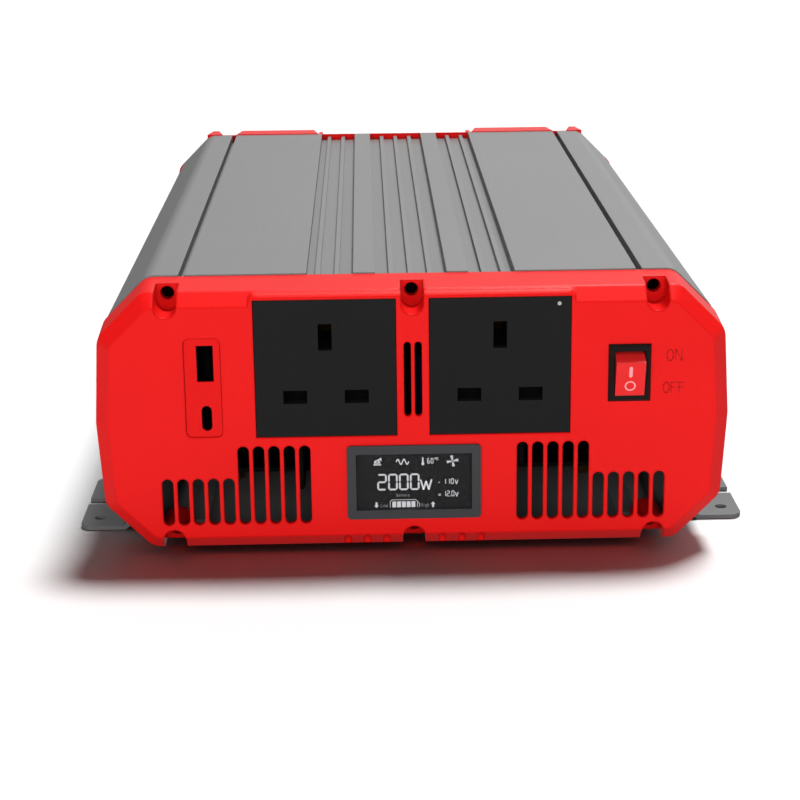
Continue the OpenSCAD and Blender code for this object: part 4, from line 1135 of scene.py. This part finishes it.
@dataclass
class Stud:
    """A threaded stud with its collar, in place of a plain bar."""

    node: str
    name: str
    major: float = 0.004
    pitch: float = 0.00125
    collar: float = 0.0072
    collar_from: float = 0.011
    collar_to: float = 0.0139
    groove: Optional[tuple[float, float]] = (0.0055, 0.0043)
    sides: int = 36

    def build(self) -> None:
        """Makes the stud in place of its node.

        The radius is the major one less the thread's depth times a clipped triangle wave of
        (height / pitch - angle / full turn). It widens to the collar, narrows in the groove and
        tapers over the last thread at both ends.
        """
        low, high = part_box(self.node)
        length = high.y - low.y
        height = np.linspace(0, length, int(length / self.pitch * 11))[:, None]
        angle = np.linspace(0, 2 * np.pi, self.sides, endpoint=False)[None]
        phase = np.mod(height / self.pitch - angle / (2 * np.pi), 1.0)
        crest = np.clip((np.abs(2 * phase - 1) - 0.12) / 0.76, 0, 1)
        radius = self.major - 0.58 * self.pitch * (1 - crest)
        ends = np.minimum(height, length - height)
        radius = np.minimum(radius, self.major - 0.55 * self.pitch + ends)
        if self.groove:
            inside = (height > length - self.groove[0]) & (height < length - self.groove[1])
            radius = np.where(inside, np.minimum(radius, self.major - 0.0005), radius)
        on_collar = (height >= self.collar_from) & (height <= self.collar_to)
        radius = np.where(on_collar, self.collar, radius)
        centre = middle(self.node)
        points = np.stack(
            [
                centre[0] + radius * np.cos(angle),
                np.broadcast_to(low.y + height, radius.shape),
                centre[2] + radius * np.sin(angle),
            ],
            -1,
        )
        surface = Surface.grid(points)
        piece = surface.object(self.name, Finishes.BRASS, "case", "contact_brass")
        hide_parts(self.node)


@dataclass
class EarthPost:
    """The earth screw: thread, washer and a chamfered hexagon nut."""

    node: str = "earth_screw"
    major: float = 0.0025
    pitch: float = 0.0008
    washer: float = 0.006
    nut: float = 0.0046
    wall_from_end: float = 0.009

    def build(self) -> None:
        """Makes the screw in place of its node, with the same wave for its thread as the studs."""
        low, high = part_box(self.node)
        length = high.y - low.y
        height = np.linspace(0, length, int(length / self.pitch * 11))[:, None]
        angle = np.linspace(0, 2 * np.pi, 30, endpoint=False)[None]
        phase = np.mod(height / self.pitch - angle / (2 * np.pi), 1.0)
        crest = np.clip((np.abs(2 * phase - 1) - 0.12) / 0.76, 0, 1)
        radius = self.major - 0.58 * self.pitch * (1 - crest)
        radius = np.minimum(radius, self.major - 0.5 * self.pitch + np.minimum(height, length - height))
        centre = middle(self.node)
        points = np.stack(
            [
                centre[0] + radius * np.cos(angle),
                np.broadcast_to(low.y + height, radius.shape),
                centre[2] + radius * np.sin(angle),
            ],
            -1,
        )
        wall = (centre[0], high.y - self.wall_from_end, centre[2])
        washer = np.array([[0.05, 0], [5.7, 0], [6.0, 0.3], [6.0, 0.9], [5.7, 1.2], [0.05, 1.2]]) * MM
        nut = np.array([[0.05, 1.1], [4.0, 1.1], [4.6, 1.45], [4.6, 4.75], [4.0, 5.1], [0.05, 5.1]]) * MM
        surface = Surface.join(
            [Surface.grid(points), lathe(washer, wall, Axis.Y), lathe(nut, wall, Axis.Y, sides=6)]
        )
        piece = surface.object("earth_post", Finishes.BRASS, "case", "contact_brass")
        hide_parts(self.node)


@dataclass
class Rotor:
    """A fan's moving part: a rounded hub and seven twisted, cambered blades."""

    side: str
    blades: int = 7
    hub: float = 0.0135
    tip: float = 0.0274
    start: float = 0.004
    length: float = 0.019
    thickness: float = 0.0012

    def build(self) -> None:
        """Makes the rotor about the middle of its frame, in place of its node."""
        node = f"fan_rotor_{self.side}"
        low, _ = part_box(f"fan_frame_{self.side}")
        self.centre = middle(f"fan_frame_{self.side}")
        self.centre[1] = low.y
        skins = [self._hub(), *(self._blade(turn) for turn in np.arange(self.blades) * 2 * np.pi / self.blades)]
        piece = Surface.join(skins).object(f"fan_blades_{self.side}", Finishes.BLACK, f"fan_{self.side}", "black_plastic")
        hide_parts(node)

    def _hub(self) -> Surface:
        """A cup open towards the motor, its outer edge rounded, on a thin shaft."""
        end = self.start + self.length
        round_off = np.linspace(0, np.pi / 2, 6)
        edge = 0.0015
        rim = np.stack([self.hub - edge + edge * np.cos(round_off), end - edge + edge * np.sin(round_off)], -1)
        inside = np.array([[0.00005, end - 0.0017], [self.hub - 0.0015, end - 0.0017], [self.hub - 0.0015, self.start]])
        outside = np.array([[self.hub, self.start]])
        cup = lathe(np.concatenate([inside, outside, rim, [[0.00005, end]]]), tuple(self.centre), Axis.Y, 64)
        shaft = np.array([[0.00005, 0.0005], [0.0015, 0.0005], [0.0015, end - 0.0016], [0.00005, end - 0.0016]])
        return Surface.join([cup, lathe(shaft, tuple(self.centre), Axis.Y, 24)])

    def _blade(self, turn: float) -> Surface:
        """One blade.

        Each section lies on a cylinder round the axis. Along its chord c from -1/2 to 1/2 the mean
        line is a parabola, the thickness tapers to both edges, and the chord is tilted by an angle
        that falls from hub to tip while its middle sweeps forwards.

        Args:
            turn: the blade's angle round the axis.

        Returns:
            The blade's closed skin.
        """
        share = np.linspace(0, 1, 14)[:, None]
        radius = self.hub - 0.0006 + share * (self.tip - self.hub + 0.0006)
        chord = 0.0195 + 0.0045 * share
        tilt = np.radians(50 - 23 * share)
        along = np.linspace(-0.5, 0.5, 15)
        loop = np.concatenate([along, along[::-1][1:-1]])[None]
        face = np.concatenate([np.ones(15), -np.ones(13)])[None]
        thick = self.thickness / 2 * np.sqrt(np.clip(1 - (2 * loop) ** 4, 0.04, 1))
        across = 0.09 * chord * (1 - (2 * loop) ** 2) + face * thick
        run = loop * chord
        tangential = run * np.cos(tilt) - across * np.sin(tilt)
        axial = run * np.sin(tilt) + across * np.cos(tilt)
        angle = turn + 0.22 * share + tangential / radius
        points = np.stack(
            [
                self.centre[0] + radius * np.cos(angle),
                self.centre[1] + self.start + self.length / 2 + axial,
                self.centre[2] + radius * np.sin(angle),
            ],
            -1,
        )
        return Surface.grid(points)


@dataclass
class Windings:
    """The choke's turns round its core and the transformers' coils."""

    wire: float = 0.00052
    core: float = 0.0042
    turns: int = 30

    def build(self) -> None:
        """The choke replaces its node; the coils are wound over the transformers' cores."""
        self._choke()
        self._coils()

    def _choke(self) -> None:
        """Wire round a ring core.

        The wire's centre is the core's circle plus (core + wire) times the poloidal direction,
        which turns as often as there are turns while the circle is run through once.
        """
        node = "filter_choke"
        low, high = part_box(node)
        centre = middle(node)
        ring = (high.z - low.z - (high.x - low.x)) / 2
        around = np.linspace(0.15, 2 * np.pi - 0.15, self.turns * 20)[:, None]
        poloidal = around * self.turns
        radial = np.concatenate([np.zeros_like(around), np.cos(around), np.sin(around)], 1)
        side = np.array([[1.0, 0.0, 0.0]])
        out = np.cos(poloidal) * radial + np.sin(poloidal) * side
        path = centre + ring * radial + (self.core + self.wire) * out
        wire = tube(path, self.wire, 8, up=out).object("choke_winding", Finishes.ENAMEL, "case", "copper")
        loop = circle(self.core, 24)
        turn = np.linspace(0, 2 * np.pi, 64, endpoint=False)[:, None]
        outward = np.concatenate([np.zeros_like(turn), np.cos(turn), np.sin(turn)], 1)
        points = centre + ring * outward[:, None] + loop[None, :, :1] * outward[:, None] + loop[None, :, 1:] * side
        Surface.grid(points, ring=True).object("choke_core", Finishes.FERRITE, "case", "ferrite")
        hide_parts(node)

    def _coils(self) -> None:
        """One layer of wire in a rounded square round each centre leg, rising evenly."""
        low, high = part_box("transformers")
        centre = middle("transformers")
        turns, pitch = 19, 0.00108
        angle = np.linspace(0, 2 * np.pi * turns, turns * 40)
        half = np.array([0.0157, 0.0151])
        power = 0.32
        east = np.sign(np.cos(angle)) * np.abs(np.cos(angle)) ** power * half[0]
        north = np.sign(np.sin(angle)) * np.abs(np.sin(angle)) ** power * half[1]
        rise = low.z + 0.0076 + angle / (2 * np.pi) * pitch
        coils = []
        for step in (-1, 0, 1):
            path = np.stack([centre[0] + east, centre[1] + step * 0.032 + north, rise], -1)
            coils.append(tube(path, self.wire, 6))
        Surface.join(coils).object("transformer_coils", Finishes.ENAMEL, "case", "copper")


@dataclass
class Cans:
    """The capacitors: sleeves with a rolled foot and a rim folded over a scored metal top."""

    large: float = 0.009
    small: float = 0.006

    def build(self) -> None:
        """Makes sleeves and tops in place of the plain cans."""
        _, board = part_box("power_board")
        low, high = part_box("power_board")
        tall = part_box("capacitors")[1].z - high.z
        large = [(x, y) for y in (-0.040, -0.061, -0.082) for x in (-0.011, 0.011)]
        small = [(x, high.y - 0.011) for x in (-0.033, 0.033)]
        sleeves, tops = [], []
        for spots, radius, height in ((large, self.large, tall), (small, self.small, tall - 0.008)):
            for x, y in spots:
                foot = (x, y, board.z)
                sleeves.append(lathe(self._sleeve(radius, height), foot, Axis.Z, 56))
                tops.append(lathe(self._top(radius, height), foot, Axis.Z, 56))
        piece = Surface.join(sleeves).object("capacitor_sleeves", Finishes.SLEEVE, "case", "can_sleeve")
        Surface.join(tops).object("capacitor_tops", Finishes.ZINC, "case", "can_sleeve")
        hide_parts("capacitors")

    @staticmethod
    def _sleeve(radius: float, height: float) -> np.ndarray:
        """The sleeve's outline, with the rolled groove near its foot."""
        inner = radius - 0.0022
        return np.array(
            [
                [0.00005, 0],
                [radius - 0.0006, 0],
                [radius, 0.0006],
                [radius, 0.0026],
                [radius - 0.0005, 0.0032],
                [radius - 0.0005, 0.0036],
                [radius, 0.0042],
                [radius, height - 0.0007],
                [radius - 0.0007, height],
                [inner, height],
                [inner - 0.0002, height - 0.0006],
                [0.00005, height - 0.0006],
            ]
        )

    @staticmethod
    def _top(radius: float, height: float) -> np.ndarray:
        """The top's outline, with a round score."""
        reach = radius - 0.0024
        level = height - 0.0003
        return np.array(
            [
                [0.00005, level - 0.0003],
                [reach, level - 0.0003],
                [reach, level],
                [reach * 0.66, level],
                [reach * 0.62, level - 0.0002],
                [reach * 0.58, level],
                [0.00005, level],
            ]
        )


@dataclass
class Leads:
    """The outlets' insulated leads, bent smoothly down to the board."""

    radius: float = 0.0014
    bend: float = 0.006

    def build(self) -> None:
        """Makes six leads in place of the square-cornered ones."""
        _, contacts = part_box("outlet_contacts_left")
        board_low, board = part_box("power_board")
        tail = contacts.y
        skins = []
        for side in ("left", "right"):
            low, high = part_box(f"outlet_contacts_{side}")
            line = low.z + 0.0034
            earth = high.z - 0.004
            for place, offset in enumerate((-0.0111, 0.0, 0.0111)):
                x = (low.x + high.x) / 2 + offset
                top = earth if place == 1 else line
                turn = tail + 0.006 + place * 0.004
                foot = board.z + self.radius + 0.0001 + place * 0.003
                corners = np.array([[x, tail - 0.001, top], [x, turn, top], [x, turn, foot], [x, board_low.y + 0.005, foot]])
                path = rounded(corners, min(self.bend, 0.0045))
                skins.append(tube(path, self.radius, 12, up=(1.0, 0.0, 0.0)))
        piece = Surface.join(skins).object("outlet_leads", Finishes.LEAD, "case", "wire_cover")
        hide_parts("outlet_wires")


@dataclass
class PortContacts:
    """Gilt contacts on the tongues of the USB ports."""

    proud: float = 0.00008

    def build(self) -> None:
        """Four strips on the wide tongue, on the side that is seen."""
        low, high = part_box("usb_a_port")
        middle_z = (low.z + high.z) / 2
        face_x = (low.x + high.x) / 2 + 0.0001
        start = low.y + 0.0014
        heights = middle_z + np.array([-0.0035, -0.001, 0.001, 0.0035])
        lines = np.stack(
            [np.stack([np.full(4, start), heights], -1), np.stack([np.full(4, start + 0.0065), heights], -1)], 1
        )
        surface = strokes(lines, 0.001, self.proud)
        surface.points = surface.points[:, [1, 0, 2]] + np.array([face_x - self.proud, 0, 0])
        surface.object("port_contacts", Finishes.GILT, "case", "port_steel", smooth=False)


@dataclass
class Studio:
    """Floor, lights, world and camera."""

    lens: float = 88.97
    shift: float = -0.025
    eye: Point = (-0.01609, -0.86977, 0.2627)
    pitch: float = 16.52
    yaw: float = 1.55
    roll: float = -0.53

    def build(self) -> None:
        """Sets the whole stage."""
        self._camera()
        floor = self._floor()
        self._world()
        self._sun("key_above", (0.20, 0.30, 0.92), 4.1, 15.0)
        fill = self._light("front_fill", (-0.3, -2.6, 0.75), (0.0, -0.18, 0.05), (4.0, 0.8), 88.0)
        spared = bpy.data.collections.new("spared_by_fill")
        spared.objects.link(floor)
        fill.light_linking.receiver_collection = spared
        spared.collection_objects[0].light_linking.link_state = "EXCLUDE"
        view = bpy.context.scene.view_settings
        view.view_transform = "Standard"
        view.look = "None"

    def _camera(self) -> None:
        """A long lens in front of the inverter, a little to the left and above."""
        data = bpy.data.cameras.new("camera")
        data.sensor_width = 36.0
        data.lens = self.lens
        data.shift_x = self.shift
        data.clip_start, data.clip_end = 0.01, 50.0
        camera = bpy.data.objects.new("camera", data)
        pitch, yaw, roll = (math.radians(a) for a in (self.pitch, self.yaw, self.roll))
        turn = Euler((math.pi / 2 - pitch, 0.0, -yaw)).to_matrix() @ Matrix.Rotation(roll, 3, "Z")
        camera.matrix_world = Matrix.Translation(self.eye) @ turn.to_4x4()
        bpy.context.scene.collection.objects.link(camera)
        bpy.context.scene.camera = camera

    def _floor(self) -> Any:
        """A wide flat sheet under the feet, which doesn't show in reflections."""
        reach = 12.0
        corners = np.array([[-reach, -reach, 0], [reach, -reach, 0], [reach, reach, 0], [-reach, reach, 0]])
        mesh = bpy.data.meshes.new("floor")
        mesh.from_pydata((corners - np.array([0, 0, 0.0002])).tolist(), [], [(0, 1, 2, 3)])
        floor = bpy.data.objects.new("floor", mesh)
        bpy.context.scene.collection.objects.link(floor)
        Finishes.FLOOR.value.dress(floor)
        floor.visible_glossy = False
        return floor

    def _world(self) -> None:
        """Bright behind and to the right, dim on the camera's side, white where it is seen."""
        world = bpy.data.worlds.new("studio")
        bpy.context.scene.world = world
        world.use_nodes = True
        g = Graph.of_world(world)
        split = g.node("ShaderNodeSeparateXYZ", None, {0: g.node("ShaderNodeTexCoord").outputs["Generated"]})
        behind = Value(g, split.outputs[1]).step(0.0, 0.7)
        right = Value(g, split.outputs[0]).step(-0.40, 0.20)
        above = Value(g, split.outputs[2]).step(-0.20, 0.15)
        level = behind * (right * 0.75 + 0.10) * (above * 0.7 + 0.3) + 0.05
        lighting = g.node("ShaderNodeBackground", None, {"Strength": level})
        seen = g.node("ShaderNodeBackground", None, {"Strength": 1.0, "Color": (1.0, 1.0, 1.0, 1.0)})
        lighting.inputs["Color"].default_value = (1.0, 1.0, 1.0, 1.0)
        camera_ray = g.node("ShaderNodeLightPath").outputs["Is Camera Ray"]
        mix = g.node("ShaderNodeMixShader", None, {0: camera_ray, 1: lighting.outputs[0], 2: seen.outputs[0]})
        g.tree.links.new(mix.outputs[0], g.output.inputs[0])

    def _sun(self, name: str, heading: Point, strength: float, angle: float) -> None:
        """A broad parallel light.

        Args:
            name: the light's name.
            heading: the direction that it comes from.
            strength: its irradiance, in watts per square metre.
            angle: how wide it is in the sky, in degrees.
        """
        data = bpy.data.lights.new(name, "SUN")
        data.energy = strength
        data.angle = math.radians(angle)
        lamp = bpy.data.objects.new(name, data)
        lamp.rotation_euler = Vector(heading).to_track_quat("Z", "Y").to_euler()
        bpy.context.scene.collection.objects.link(lamp)

    def _light(self, name: str, place: Point, aim: Point, size: tuple[float, float], power: float) -> Any:
        """A rectangular light that doesn't show in reflections.

        Args:
            name: the light's name.
            place: where it hangs.
            aim: the point it faces.
            size: its width and height.
            power: its power in watts.

        Returns:
            The light's object.
        """
        data = bpy.data.lights.new(name, "AREA")
        data.shape = "RECTANGLE"
        data.size, data.size_y = size
        data.energy = power
        lamp = bpy.data.objects.new(name, data)
        heading = (Vector(place) - Vector(aim)).to_track_quat("Z", "Y").to_matrix()
        lamp.matrix_world = Matrix.Translation(place) @ heading.to_4x4()
        lamp.visible_glossy = False
        bpy.context.scene.collection.objects.link(lamp)
        return lamp


def dress_frame(nodes: dict) -> None:
    """Gives each CAD node its finish.

    Args:
        nodes: the frame's nodes by name.
    """
    for finish, names in DRESS.items():
        finish.value.dress(*(nodes[name] for name in names))
        LOG.info("%s: %s", finish.value.name, ", ".join(names))
    bare = sorted(set(nodes) - {name for names in DRESS.values() for name in names})
    if bare:
        raise ValueError(f"nodes without a finish: {bare}")


def main() -> None:
    """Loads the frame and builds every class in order."""
    logging.basicConfig(level=logging.INFO, format="%(name)s: %(message)s")
    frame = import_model()
    Studio().build()
    dress_frame(frame["nodes"])
    groups = (
        Readout(),
        SwitchMarks(),
        PortContacts(),
        Stud("terminal_stud_positive", "positive_stud"),
        Stud("terminal_stud_negative", "negative_stud"),
        EarthPost(),
        Rotor("left"),
        Rotor("right"),
        Windings(),
        Cans(),
        Leads(),
    )
    for group in groups:
        group.build()


if __name__ == "__main__":
    main()
